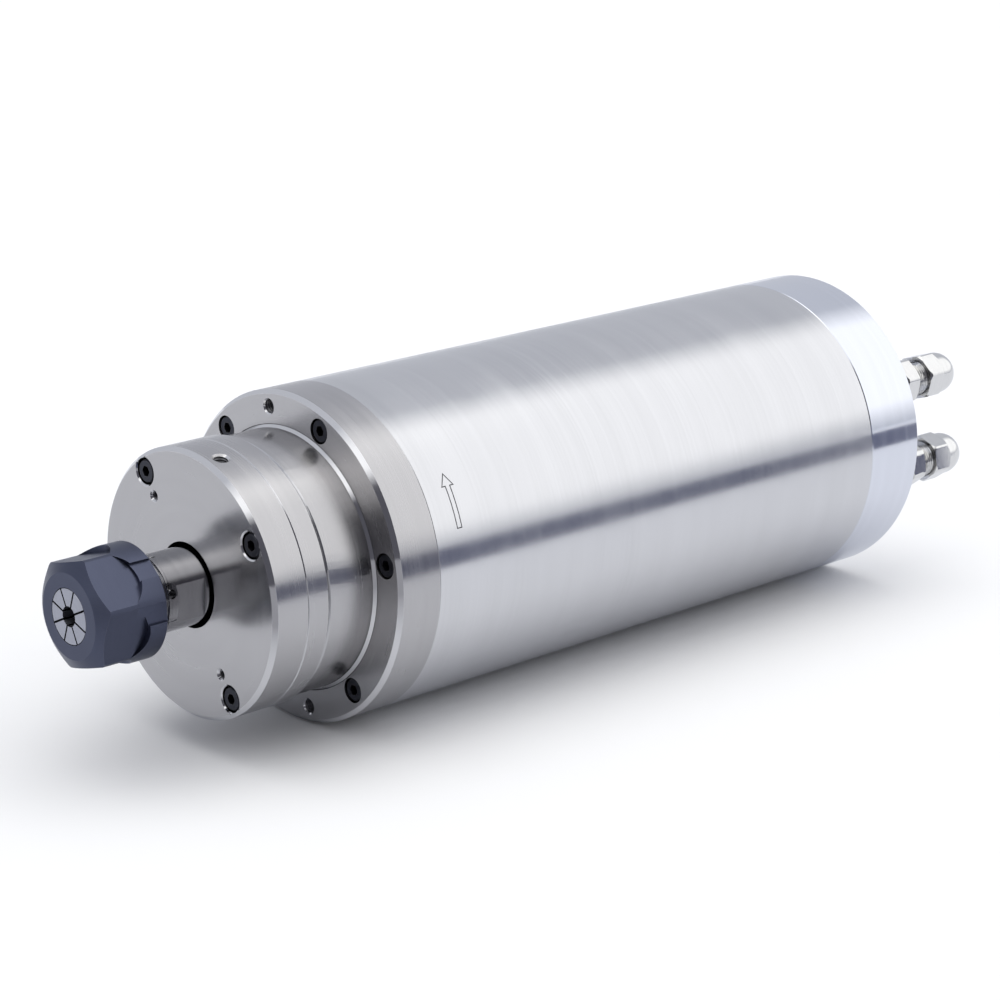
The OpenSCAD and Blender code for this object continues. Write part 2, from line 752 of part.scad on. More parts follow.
// Water jacket: ring channels that are joined by gaps on alternate sides
module water_jacket() {
    out_r = jacket_r - seat_gap;
    last_x = channel_start + (channels - 1) * channel_pitch;
    riser_xs = [last_x + channel_w / 2, channel_start + channel_w / 2];
    floor_r = jacket_r - channel_depth;
    groove_w = seal_d + 0.7;
    color(aluminium) difference() {
        tube(tube_x, frame_x, jacket_bore_r, out_r);
        for (k = [0:channels - 1])
            tube(channel_start + k * channel_pitch, channel_start + k * channel_pitch + channel_w,
                 floor_r, body_r);
        for (k = [0:channels - 2])
            at_angle(k % 2 == 0 ? 270 : 180, floor_r)
                translate([channel_start + k * channel_pitch + channel_w / 2, -channel_w / 2, 0])
                    cube([channel_pitch, channel_w, tube_wall + channel_depth]);
        for (x = seal_xs)
            tube(x - groove_w / 2, x + groove_w / 2, jacket_r - seal_d, body_r);
        for (k = [0, 1])
            at_angle(port_angles[k], port_r) {
                rod(riser_xs[k], frame_x + cut, passage_d / 2);
                translate([riser_xs[k], 0, 0]) cylinder(h = body_r - port_r, d = passage_d);
            }
        around(flange_screws_n, flange_screw_turn, flange_screw_r)
            rod(tube_x - cut, counterbore_depth + flange_screw_l + cut, screw_d / 2 + thread_gap);
        around(rear_screws_n, rear_screw_turn, rear_screw_r)
            rod(rear_seat_x - rear_screw_l - cut, frame_x + cut, screw_d / 2 + thread_gap);
    }
}

// Sealing rings between water jacket and body tube
module jacket_seals() {
    ring_r = (seal_d - seat_gap) / 2;
    color(rubber) for (x = seal_xs)
        rotate([0, 90, 0]) rotate_extrude() translate([jacket_r - seal_d / 2, x]) circle(r = ring_r);
}

// Cutters or bars for the stator slots, made narrower by a gap for the winding
module slot_shapes(x0, x1, gap) {
    around(stator_slots, 0, stator_bore_r + tooth_tip_t + gap)
        translate([x0, gap - stator_slot_w / 2, 0])
            cube([x1 - x0, stator_slot_w - 2 * gap,
                  slot_floor_r - stator_bore_r - tooth_tip_t - 2 * gap]);
}

// Stator core: the laminated stack with its slots and their mouths
module stator_core() {
    color(lamination) difference() {
        tube(stator_x, stator_end_x, stator_bore_r, jacket_bore_r - seat_gap);
        slot_shapes(stator_x - cut, stator_end_x + cut, 0);
        around(stator_slots, 0, stator_bore_r - cut)
            translate([stator_x - cut, -stator_slot_w / 6, 0])
                cube([stator_end_x - stator_x + 2 * cut, stator_slot_w / 3, tooth_tip_t + 2 * cut]);
    }
}

// Stator winding: the coils in the slots and the turns at both ends
module stator_winding() {
    gap = 0.2;
    in_r = stator_bore_r + tooth_tip_t + gap;
    out_r = slot_floor_r + 1;
    edge = 2;
    color(copper) {
        slot_shapes(stator_x - cut, stator_end_x + cut, gap);
        for (side = [[stator_x, -1], [stator_end_x, 1]]) {
            x = side[0] + side[1] * 0.1;
            far = side[0] + side[1] * winding_l;
            turned([[in_r, x], [in_r, far - side[1] * edge], [in_r + edge, far], [out_r - edge, far],
                    [out_r, far - side[1] * edge], [out_r, x]]);
        }
    }
}

// A straight piece of wire with a ball at its far end, a little thicker than the wire
module wire(from, to, d) {
    run = to - from;
    translate(from) rotate([0, acos(run[2] / norm(run)), atan2(run[1], run[0])])
        cylinder(h = norm(run), d = d);
    translate(to) sphere(d = d * 1.05);
}

// Motor leads: from the winding through the rear frame to the socket's solder ends
module motor_leads() {
    bend_x = rb_end_x + 2;
    color(rubber) for (k = [0:2]) {
        pin = pin_place(lead_pins[k]);
        lead_z = socket_z + (k - 1) * (lead_d + 0.4);
        bend = [bend_x, lead_y, lead_z];
        wire([stator_end_x + winding_l, lead_y, lead_z], bend, lead_d);
        wire(bend, [solder_end_x() - lead_d / 2, pin[0], pin[1]], lead_d);
    }
}

// Where a contact pin stands across the rear cap, as [y, z]
function pin_place(k) = [socket_y + socket_pin_circle / 2 * cos(k * pin_step),
                         socket_z + socket_pin_circle / 2 * sin(k * pin_step)];

// The inner end of the solder ends
function solder_end_x() = plate_x - solder_l;

// Rear frame: carries the rear bearings, the water bores and the hole for the leads
module rear_frame() {
    register_r = jacket_bore_r - seat_gap;
    out_r = jacket_r - seat_gap;
    lip_r = rb_outer_r - 3.5;
    hub_end_x = rb_end_x + 0.5;
    seal_r = port_bore_d / 2 + face_seal_w + 0.1;
    color(aluminium) difference() {
        turned([[lip_r, frame_x], [register_r - register_t, frame_x],
                [register_r - register_t, frame_x - register_l], [register_r, frame_x - register_l],
                [register_r, frame_x], [out_r, frame_x], [out_r, cap_x], [hub_r, cap_x],
                [hub_r, hub_end_x], [rb_outer_r, hub_end_x], [rb_outer_r, frame_x + rb_lip_l],
                [lip_r, frame_x + rb_lip_l]]);
        for (angle = port_angles)
            at_angle(angle, port_r) {
                rod(frame_x - cut, cap_x + cut, port_bore_d / 2);
                rod(frame_x - cut, frame_x + face_seal_t, seal_r);
                rod(cap_x - face_seal_t, cap_x + cut, seal_r);
            }
        around(rear_screws_n, rear_screw_turn, rear_screw_r)
            rod(frame_x - cut, cap_x + cut, screw_hole_d / 2);
        translate([0, lead_y, socket_z]) rod(frame_x - register_l - cut, cap_x + cut, lead_hole_d / 2);
    }
}

// Face seals round the water bores
module port_seals() {
    in_r = port_bore_d / 2 + 0.1;
    color(rubber) for (angle = port_angles, x = [frame_x, cap_x - face_seal_t])
        at_angle(angle, port_r) tube(x, x + face_seal_t, in_r, in_r + face_seal_w - 0.1);
}

// Preload spring: a disc spring that pushes on the rear outer rings
module preload_spring() {
    x = frame_x + rb_lip_l;
    out_r = rb_outer_r - 0.3;
    in_r = out_r - 2.6;
    sheet = spring_h * 0.5;
    color(bearing_steel) turned([[in_r, x], [in_r, x + sheet], [out_r, x + spring_h],
                                 [out_r, x + spring_h - sheet]]);
}

// Rear cap: a cup that closes the body and carries the fittings and the power socket
module rear_cap() {
    room_r = body_r - cap_wall;
    port_l = fitting_thread_l + cut;
    hole_at = [0, socket_y, socket_z];
    color(aluminium) difference() {
        turned([[room_r, cap_x], [body_r - seam_chamfer, cap_x], [body_r, cap_x + seam_chamfer],
                [body_r, rear_x - cap_chamfer], [body_r - cap_chamfer, rear_x], [0, rear_x],
                [0, plate_x], [room_r, plate_x]]);
        for (angle = port_angles)
            at_angle(angle, port_r) {
                rod(cap_x - cut, rear_x, port_bore_d / 2);
                rod(rear_x - port_l, rear_x + cut, fitting_thread_d / 2 + thread_gap);
            }
        around(rear_screws_n, rear_screw_turn, rear_screw_r) {
            rod(cap_x - cut, rear_x, screw_hole_d / 2);
            rod(rear_seat_x, rear_x + cut, counterbore_d / 2);
        }
        translate(hole_at) rod(plate_x - cut, rear_x + cut, socket_in_r + 0.6);
        for (a = [-1, 1], b = [-1, 1])
            translate(hole_at + [0, a * small_screw_at, b * small_screw_at])
                rod(rear_x - small_hole_depth, rear_x + cut, small_screw_d / 2 + thread_gap);
    }
}

// Rear screws: they clamp rear cap and rear frame to the water jacket
module rear_screws() {
    color(black_oxide) around(rear_screws_n, rear_screw_turn, rear_screw_r)
        translate([rear_seat_x, 0, 0]) mirror([1, 0, 0])
            cap_screw(screw_d, screw_head_d, screw_head_h, rear_screw_l, screw_socket_af);
}

// A hose fitting's body: thread, hexagon and threaded neck, bored through
module fitting_body() {
    neck_r = fitting_neck_d / 2;
    edge = 0.6;
    corner_r = fitting_af / 2 / cos(30) - 0.3;
    color(nickel) difference() {
        union() {
            rod(rear_x - fitting_thread_l, rear_x + cut, fitting_thread_d / 2);
            intersection() {
                hex_bar(rear_x, fitting_neck_x, fitting_af, 10);
                turned([[0, rear_x], [corner_r - edge, rear_x], [corner_r, rear_x + edge],
                        [corner_r, fitting_neck_x - edge], [corner_r - 2 * edge, fitting_neck_x],
                        [0, fitting_neck_x]]);
            }
            turned([[0, fitting_neck_x - cut], [neck_r, fitting_neck_x - cut],
                    [neck_r, fitting_end_x - edge], [neck_r - edge, fitting_end_x],
                    [0, fitting_end_x]]);
        }
        rod(rear_x - fitting_thread_l - cut, fitting_end_x, fitting_bore_d / 2);
        rod(fitting_end_x - hose_stop_l, fitting_end_x + cut, hose_hole_r);
    }
}

// The ferrule that the hose nut presses onto the hose
module ferrule_body() {
    color(nickel) turned([[hose_hole_r, ferrule_x], [ferrule_r - 0.6, ferrule_x],
                          [ferrule_r, ferrule_x + 0.8], [ferrule_r, ferrule_x + ferrule_l],
                          [hose_hole_r, ferrule_x + ferrule_l]]);
}

// The hose nut: a hexagon with a domed end and a hole for the hose
module hose_nut_body() {
    corner_r = hose_nut_af / 2 / cos(30) - 0.2;
    dome_r = hose_nut_af / 2 - 0.1;
    edge = 0.6;
    thread_r = fitting_neck_d / 2 + thread_gap;
    room_end_x = ferrule_x + ferrule_l + 0.1;
    tip_r = hose_hole_r + 0.4;
    end_angle = acos(tip_r / dome_r);
    ball_x = hose_nut_end_x - dome_r * sin(end_angle);
    dome_steps = 10;
    color(nickel) difference() {
        union() {
            intersection() {
                hex_bar(hose_nut_x, dome_x + cut, hose_nut_af, 10);
                turned([[0, hose_nut_x], [corner_r - edge, hose_nut_x], [corner_r, hose_nut_x + edge],
                        [corner_r, dome_x - edge], [dome_r - 0.2, dome_x + cut], [0, dome_x + cut]]);
            }
            turned([[0, hose_nut_x + cut], [dome_r, hose_nut_x + cut],
                    for (k = [0:dome_steps]) [dome_r * cos(k * end_angle / dome_steps),
                                              ball_x + dome_r * sin(k * end_angle / dome_steps)],
                    [0, hose_nut_end_x]]);
        }
        rod(hose_nut_x - cut, room_end_x, thread_r);
        rod(room_end_x - cut, hose_nut_end_x + cut, hose_hole_r);
        taper(hose_nut_end_x - 0.8, hose_nut_end_x + 0.2, hose_hole_r, hose_hole_r + 1);
    }
}

module inlet_fitting() { at_angle(inlet_angle, port_r) fitting_body(); }
module inlet_ferrule() { at_angle(inlet_angle, port_r) ferrule_body(); }
module inlet_nut() { at_angle(inlet_angle, port_r) hose_nut_body(); }
module outlet_fitting() { at_angle(outlet_angle, port_r) fitting_body(); }
module outlet_ferrule() { at_angle(outlet_angle, port_r) ferrule_body(); }
module outlet_nut() { at_angle(outlet_angle, port_r) hose_nut_body(); }

// Power socket: square flange and threaded shell
module socket_shell() {
    half = socket_flange_w / 2;
    diagonal = half * sqrt(2) - socket_corner;
    shell_r = socket_thread_d / 2;
    color(nickel) translate([0, socket_y, socket_z]) difference() {
        union() {
            intersection() {
                translate([socket_seat_x, -half, -half])
                    cube([socket_flange_t, socket_flange_w, socket_flange_w]);
                rotate([45, 0, 0]) translate([socket_seat_x, -diagonal, -diagonal])
                    cube([socket_flange_t, 2 * diagonal, 2 * diagonal]);
            }
            turned([[0, socket_face_x - cut], [shell_r, socket_face_x - cut],
                    [shell_r, socket_end_x - 0.5], [shell_r - 0.5, socket_end_x], [0, socket_end_x]]);
            rod(plate_x, socket_face_x, socket_in_r + 0.5);
        }
        rod(plate_x - cut, socket_end_x + cut, socket_in_r);
        for (a = [-1, 1], b = [-1, 1])
            translate([0, a * small_screw_at, b * small_screw_at])
                rod(socket_seat_x - cut, socket_face_x + cut, small_screw_d / 2 + 0.2);
    }
}

// Insulator that fills the shell and holds the pins
module socket_insulator() {
    color(insulator) difference() {
        translate([0, socket_y, socket_z]) rod(plate_x, insulator_x, socket_in_r - seat_gap);
        for (k = [0:socket_pins_n - 1]) {
            pin = pin_place(k);
            translate([0, pin[0], pin[1]]) rod(plate_x - cut, insulator_x + cut, socket_pin_d / 2 + 0.01);
        }
    }
}

// Contact pins with their solder ends
module socket_pins() {
    pin_r = socket_pin_d / 2;
    color(copper) for (k = [0:socket_pins_n - 1]) {
        pin = pin_place(k);
        translate([0, pin[0], pin[1]])
            turned([[0, solder_end_x()], [pin_r, solder_end_x()], [pin_r, insulator_x + socket_pin_l - 0.5],
                    [pin_r - 0.5, insulator_x + socket_pin_l], [0, insulator_x + socket_pin_l]]);
    }
}

// Gasket between the socket's flange and the rear cap
module socket_gasket() {
    half = socket_flange_w / 2;
    color(rubber) translate([0, socket_y, socket_z]) difference() {
        translate([rear_x, -half, -half]) cube([gasket_t, socket_flange_w, socket_flange_w]);
        rod(rear_x - cut, socket_seat_x + cut, socket_in_r + 0.7);
        for (a = [-1, 1], b = [-1, 1])
            translate([0, a * small_screw_at, b * small_screw_at])
                rod(rear_x - cut, socket_seat_x + cut, small_screw_d / 2 + 0.2);
    }
}

// The socket's four small screws
module socket_screws() {
    color(nickel) for (a = [-1, 1], b = [-1, 1])
        translate([socket_face_x, socket_y + a * small_screw_at, socket_z + b * small_screw_at])
            mirror([1, 0, 0])
                cap_screw(small_screw_d, 1.7 * small_screw_d, 0.8 * small_screw_d, small_screw_l,
                          0.6 * small_screw_d);
}

// Shaft: threaded nose with the collet's socket, neck with flats, bearing and rotor seats
module shaft() {
    nose_edge = 0.8;
    mouth_r = collet_d / 2 - (shaft_x - cone_x) * tan(collet_angle) + cone_gap;
    socket_x = collet_end_x + 3;
    socket_r = mouth_r - (socket_x - shaft_x) * tan(collet_angle);
    color(bright_steel) difference() {
        turned([[0, shaft_x], [nose_thread_r - nose_edge, shaft_x],
                [nose_thread_r, shaft_x + nose_edge], [nose_thread_r, thread_end_x - 1.4],
                [neck_shaft_r + 0.4, thread_end_x - 0.4], [neck_shaft_r + 0.4, thread_end_x + 1],
                [neck_shaft_r, thread_end_x + 1.4], [neck_shaft_r, front_nut_x - 1],
                [fb_bore_r - seat_gap, front_nut_x], [fb_bore_r - seat_gap, shoulder_x],
                [shoulder_d / 2, shoulder_x], [shoulder_d / 2, rotor_x],
                [rotor_seat_r - seat_gap, rotor_x], [rotor_seat_r - seat_gap, rotor_end_x],
                [rear_journal_d / 2, rotor_end_x], [rear_journal_d / 2, rb_x],
                [rb_bore_r - seat_gap, rb_x], [rb_bore_r - seat_gap, shaft_end_x - 0.5],
                [rb_bore_r - 0.5, shaft_end_x], [0, shaft_end_x]]);
        taper(shaft_x - cut, socket_x, mouth_r + cut * tan(collet_angle), socket_r);
        rod(socket_x - cut, socket_x + back_bore_l, back_bore_d / 2);
        for (side = [0, 180])
            rotate([flat_angle + side, 0, 0])
                translate([face_x - flat_gap - flat_l, -neck_shaft_r, flat_af / 2])
                    cube([flat_l, shaft_neck_d, neck_shaft_r]);
        at_angle(pin_hole_angle, neck_shaft_r - pin_hole_depth) translate([thread_end_x + 1.5, 0, 0])
            cylinder(h = pin_hole_depth + cut, d = pin_hole_d);
    }
}

// Slinger: the turning half of the labyrinth
module slinger() {
    out_r = slinger_d / 2;
    hub_out_r = fb_pitch_r - 0.7 * fb_ball_d / 2;
    disc_end_x = slinger_x + 0.62 * slinger_l;
    groove_x = (slinger_x + disc_end_x) / 2;
    color(steel) turned([[fb_bore_r, slinger_x], [out_r, slinger_x], [out_r, groove_x - 0.8],
                         [out_r - 1, groove_x - 0.4], [out_r - 1, groove_x + 0.4],
                         [out_r, groove_x + 0.8], [out_r, disc_end_x], [hub_out_r, disc_end_x],
                         [hub_out_r, fb_x], [fb_bore_r, fb_x]]);
}

// A slotted round nut along X
module slotted_nut(x0, x1, bore_r, outer_r) {
    edge = 0.5;
    color(dark_steel) difference() {
        turned([[bore_r, x0], [outer_r - edge, x0], [outer_r, x0 + edge], [outer_r, x1 - edge],
                [outer_r - edge, x1], [bore_r, x1]]);
        around(4, 45, outer_r - lock_slot_depth) translate([x0 - cut, -lock_slot_w / 2, 0])
            cube([x1 - x0 + 2 * cut, lock_slot_w, lock_slot_depth + cut]);
    }
}

module front_lock_nut() { slotted_nut(front_nut_x, slinger_x, fb_bore_r, front_nut_d / 2); }
module rear_lock_nut() { slotted_nut(rb_end_x, rb_end_x + rear_nut_l, rb_bore_r, rear_nut_d / 2); }

// Circle of the bars in the rotor core
function bar_r() = rotor_r - rotor_bar_d / 2 - 0.8;

// Rotor core: the laminated stack that the cage bars pass through
module rotor_core() {
    color(lamination) difference() {
        tube(stator_x, stator_end_x, rotor_seat_r, rotor_r);
        around(rotor_bars, 0, bar_r()) rod(stator_x - cut, stator_end_x + cut, rotor_bar_d / 2 + 0.01);
    }
}

// Rotor cage: cast bars and end rings in one piece
module rotor_cage() {
    in_r = bar_r() - rotor_bar_d / 2 - 0.2;
    out_r = bar_r() + rotor_bar_d / 2 + 0.2;
    color(aluminium) {
        around(rotor_bars, 0, bar_r()) rod(stator_x - cut, stator_end_x + cut, rotor_bar_d / 2);
        tube(stator_x - end_ring_l, stator_x, in_r, out_r);
        tube(stator_end_x, stator_end_x + end_ring_l, in_r, out_r);
    }
}

// Balance rings: drilled where the rotor was heavy
module balance_rings() {
    out_r = rotor_r - 1.5;
    drill_r = (rotor_seat_r + out_r) / 2;
    rear_ring_x = stator_end_x + end_ring_l;
    color(steel) {
        difference() {
            tube(rotor_x, stator_x - end_ring_l, rotor_seat_r, out_r);
            for (angle = [30, 50, 200])
                at_angle(angle, drill_r) rod(rotor_x - cut, rotor_x + balance_drill_l, 1.25);
        }
        difference() {
            tube(rear_ring_x, rotor_end_x, rotor_seat_r, out_r);
            for (angle = [110, 250])
                at_angle(angle, drill_r) rod(rotor_end_x - balance_drill_l, rotor_end_x + cut, 1.25);
        }
    }
}

// Slots of the collet, from x0 to x1
module collet_cuts(x0, x1, first) {
    around(collet_slots, first, 0) translate([x0, -slot_w / 2, 0]) cube([x1 - x0, slot_w, collet_d]);
}

// Collet: a slotted spring sleeve with a steep face cone, a groove and a long taper
module collet() {
    end_r = collet_d / 2 - (collet_end_x - cone_x) * tan(collet_angle);
    edge = 0.3;
    color(bright_steel) difference() {
        turned([[0, nut_x], [collet_face_d / 2, nut_x], [collet_lip_d / 2, lip_x],
                [collet_groove_d / 2, lip_x + edge], [collet_groove_d / 2, head_x],
                [collet_d / 2 - edge, head_x], [collet_d / 2, head_x + edge], [collet_d / 2, cone_x],
                [end_r + edge * tan(collet_angle), collet_end_x - edge], [end_r - edge, collet_end_x],
                [0, collet_end_x]]);
        rod(nut_x - cut, nut_x + grip_l, tool_d / 2);
        rod(nut_x + grip_l - cut, collet_end_x + cut, collet_back_d / 2);
        collet_cuts(nut_x - cut, collet_end_x - slot_bridge, slot_turn);
        collet_cuts(nut_x + slot_bridge + 3, collet_end_x + cut, slot_turn + 180 / collet_slots);
    }
}

// One flat of the nut, milled to a round end, as a cutter that stands on the flat
module nut_flat() {
    height = (nut_d - nut_af) / 2 + cut;
    end_x = nut_x + nut_flat_l - nut_cutter_d / 2;
    translate([nut_x - cut, -nut_cutter_d / 2, 0]) cube([end_x - nut_x + cut, nut_cutter_d, height]);
    translate([end_x, 0, 0]) cylinder(h = height, d = nut_cutter_d);
}

// Collet nut: milled hexagon and notched collar; its inner rim draws the collet out
module collet_nut() {
    out_r = nut_d / 2;
    edge = 0.7;
    mouth_r = collet_face_d / 2 + 0.25;
    cone_end_x = lip_x + 0.25;
    rim_r = collet_groove_d / 2 + 0.45;
    rim_shift = 0.25;
    color(dark_steel) difference() {
        turned([[0, nut_x], [nut_face_d / 2, nut_x], [out_r, nut_x + nut_cone_l],
                [out_r, nut_end_x - edge], [out_r - edge, nut_end_x], [0, nut_end_x]]);
        around(6, nut_turn + 30, nut_af / 2) nut_flat();
        turned([[0, nut_x - cut], [mouth_r, nut_x - cut], [mouth_r, nut_x],
                [mouth_r + (cone_end_x - nut_x) * tan(face_angle), cone_end_x], [0, cone_end_x]]);
        translate([0, rim_shift, 0]) rod(lip_x, head_x, rim_r + rim_shift);
        rod(head_x - 0.25, nut_end_x + cut, nose_thread_r + thread_gap);
        taper(nut_end_x - 0.8, nut_end_x + 0.2, nose_thread_r, nose_thread_r + 1);
        around(nut_notches, notch_turn, out_r - notch_depth)
            translate([collar_x, -notch_w / 2, 0])
                cube([nut_collar_l + cut, notch_w, notch_depth + cut]);
    }
}

front_cover();
cover_screws();
clamp_ring();
front_housing();
flange_screws();
front_outer_rings();
front_outer_spacer();
body_tube();
water_jacket();
jacket_seals();
stator_core();
stator_winding();
motor_leads();
rear_frame();
preload_spring();
rear_outer_rings();
port_seals();
rear_cap();
rear_screws();
inlet_fitting();
outlet_fitting();
socket_shell();
socket_insulator();
socket_pins();
socket_gasket();
socket_screws();
shaft();
slinger();
front_lock_nut();
front_inner_rings();
front_inner_spacer();
rotor_core();
rotor_cage();
balance_rings();
rear_inner_rings();
rear_lock_nut();
collet();
collet_nut();
front_cages();
front_balls();
rear_cages();
rear_balls();
inlet_ferrule();
inlet_nut();
outlet_ferrule();
outlet_nut();
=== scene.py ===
import json
import math

import bmesh
import bpy
from mathutils import Matrix, Vector


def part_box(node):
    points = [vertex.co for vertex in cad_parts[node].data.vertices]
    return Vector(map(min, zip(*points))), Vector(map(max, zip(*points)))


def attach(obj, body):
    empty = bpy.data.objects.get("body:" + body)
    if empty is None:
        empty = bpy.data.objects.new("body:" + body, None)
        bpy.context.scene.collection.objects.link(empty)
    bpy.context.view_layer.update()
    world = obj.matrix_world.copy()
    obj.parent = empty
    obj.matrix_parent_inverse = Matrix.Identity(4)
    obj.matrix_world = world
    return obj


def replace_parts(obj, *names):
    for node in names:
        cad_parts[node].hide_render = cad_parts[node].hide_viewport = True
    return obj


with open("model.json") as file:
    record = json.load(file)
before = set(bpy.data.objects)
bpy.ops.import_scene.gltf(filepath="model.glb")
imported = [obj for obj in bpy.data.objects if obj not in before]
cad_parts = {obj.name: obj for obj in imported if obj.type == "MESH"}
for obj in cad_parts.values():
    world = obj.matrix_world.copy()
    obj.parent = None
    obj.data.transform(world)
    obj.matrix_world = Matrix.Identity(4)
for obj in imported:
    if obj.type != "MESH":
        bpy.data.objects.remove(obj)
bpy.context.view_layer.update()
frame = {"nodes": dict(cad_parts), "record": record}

# Looks of a water-cooled milling spindle. It lies along X with its nose towards -X, and angles
# round its axis start at +Z and grow towards -Y.

MM = 0.001

# Stations along the axis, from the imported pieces; x = 0 is the flange's front face
RING_W = 8 * MM
flange_x = 0.0
face_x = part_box("front_cover")[0].x
neck_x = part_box("clamp_ring")[0].x + RING_W
tube_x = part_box("body_tube")[0].x
rear_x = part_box("rear_cap")[1].x
nut_x, nut_end_x = (corner.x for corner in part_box("collet_nut"))
collet_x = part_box("collet")[0].x
body_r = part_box("body_tube")[1].y
nose_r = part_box("front_cover")[1].y
neck_r = nose_r - 1 * MM

# Axes that are not the spindle's own, as (y, z)
inlet_low, inlet_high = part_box("inlet_nut")
outlet_low, outlet_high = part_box("outlet_nut")
socket_low, socket_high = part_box("socket_insulator")
inlet_axis = ((inlet_low.y + inlet_high.y) / 2, (inlet_low.z + inlet_high.z) / 2)
outlet_axis = ((outlet_low.y + outlet_high.y) / 2, (outlet_low.z + outlet_high.z) / 2)
socket_axis = ((socket_low.y + socket_high.y) / 2, (socket_low.z + socket_high.z) / 2)
spindle_axis = (0.0, 0.0)


# Holes of the nose: distance from the axis and angles round it
COVER_SCREW_ANGLES = (58, 148, 238, 328)
JACKING_ANGLES = (148, 328)
FLANGE_TAP_ANGLES = (350, 170)
AIR_PORT_ANGLE = 15
cover_screw_reach = nose_r - 5 * MM
jacking_reach = nose_r - 12.6 * MM
flange_tap_reach = body_r - 5 * MM
air_port_x = face_x + 5.5 * MM
M3_CORE_R, M3_PITCH = 1.25 * MM, 0.5 * MM
M5_CORE_R, M5_PITCH = 2.1 * MM, 0.8 * MM


# Camera

def make_camera():
    """The photograph's view: from the nose's side, a little above."""
    camera = bpy.data.objects.new("camera", bpy.data.cameras.new("camera"))
    bpy.context.scene.collection.objects.link(camera)
    looks_down, looks_round = 16.714, -42.98
    camera.location = (-0.497919, -0.628574, 0.258917)
    camera.rotation_euler = (math.radians(90 - looks_down), 0, math.radians(looks_round))
    camera.data.lens = 103.2
    camera.data.shift_x = -0.00807
    camera.data.shift_y = -0.00417
    camera.data.clip_start = 0.01
    camera.data.clip_end = 60
    bpy.context.scene.camera = camera


make_camera()


# Node helpers

def put(tree, kind, values=None, links=None, **settings):
    """A node of one kind with its settings, its values and what feeds it."""
    node = tree.nodes.new(kind)
    for key, value in settings.items():
        setattr(node, key, value)
    for key, value in (values or {}).items():
        node.inputs[key].default_value = value
    for key, source in (links or {}).items():
        tree.links.new(source, node.inputs[key])
    return node


def maths(tree, operation, a, b=None):
    """A Math node's result; a and b are sockets or numbers."""
    node = tree.nodes.new("ShaderNodeMath")
    node.operation = operation
    for slot, item in enumerate((a, b)):
        if item is None:
            continue
        if isinstance(item, (int, float)):
            node.inputs[slot].default_value = item
        else:
            tree.links.new(item, node.inputs[slot])
    return node.outputs[0]


def spread(tree, value, low, high, to_low=0.0, to_high=1.0):
    """A value mapped from one range to another, and kept inside it."""
    node = put(tree, "ShaderNodeMapRange",
               {"From Min": low, "From Max": high, "To Min": to_low, "To Max": to_high},
               {"Value": value})
    return node.outputs["Result"]


def blend_colour(tree, mask, colour_a, colour_b):
    """colour_a where the mask is 0 and colour_b where it is 1; each is a socket or a colour."""
    node = tree.nodes.new("ShaderNodeMix")
    node.data_type = "RGBA"
    tree.links.new(mask, node.inputs["Factor"])
    for socket, colour in ((node.inputs[6], colour_a), (node.inputs[7], colour_b)):
        if isinstance(colour, tuple):
            socket.default_value = (*colour, 1)
        else:
            tree.links.new(colour, socket)
    return node.outputs[2]


def new_group(name, inputs, outputs):
    """An empty shader node group: inputs are (name, kind, value), outputs are (name, kind)."""
    group = bpy.data.node_groups.new(name, "ShaderNodeTree")
    for label, kind, value in inputs:
        socket = group.interface.new_socket(label, in_out="INPUT", socket_type=kind)
        if value is not None:
            socket.default_value = value
    for label, kind in outputs:
        group.interface.new_socket(label, in_out="OUTPUT", socket_type=kind)
    return group, group.nodes.new("NodeGroupInput"), group.nodes.new("NodeGroupOutput")


FLOAT, VECTOR = "NodeSocketFloat", "NodeSocketVector"
# Light grey that is painted onto chamfers as a highlight
PAINTED_CHAMFER_HIGHLIGHT = (0.93, 0.93, 0.94)
# Near black that is painted into holes, seams and slots as shade
PAINTED_CAVITY_SHADE = (0.02, 0.02, 0.025)


def make_turning_group():
    """Marks that a lathe or grinder leaves: fine lines and soft bands round the axis."""
    group, given, result = new_group(
        "turning marks",
        [("Position", VECTOR, None), ("Lines", FLOAT, 4000.0), ("Bands", FLOAT, 300.0),
         ("Sway", FLOAT, 1.0)],
        [("Line", FLOAT), ("Band", FLOAT)])
    across = put(group, "ShaderNodeVectorMath", {1: (0, 1, 1)}, {0: given.outputs["Position"]},
                 operation="MULTIPLY")
    radius = put(group, "ShaderNodeVectorMath", None, {0: across.outputs[0]}, operation="LENGTH")
    outward = put(group, "ShaderNodeVectorMath", None, {0: across.outputs[0]}, operation="NORMALIZE")
    along = put(group, "ShaderNodeSeparateXYZ", None, {0: given.outputs["Position"]})
    round_it = put(group, "ShaderNodeSeparateXYZ", None, {0: outward.outputs[0]})
    sway_y = maths(group, "MULTIPLY", round_it.outputs["Y"], given.outputs["Sway"])
    sway_z = maths(group, "MULTIPLY", round_it.outputs["Z"], given.outputs["Sway"])
    for density, label, detail in (("Lines", "Line", 2.0), ("Bands", "Band", 3.0)):
        x = maths(group, "MULTIPLY", along.outputs["X"], given.outputs[density])
        r = maths(group, "MULTIPLY", radius.outputs["Value"], given.outputs[density])
        place = put(group, "ShaderNodeCombineXYZ", None, {"X": x, "Y": r, "Z": sway_y})
        noise = put(group, "ShaderNodeTexNoise", {"Scale": 1.0, "Detail": detail, "Roughness": 0.55},
                    {"Vector": place.outputs[0], "W": sway_z}, noise_dimensions="4D")
        group.links.new(noise.outputs["Fac"], result.inputs[label])
    return group


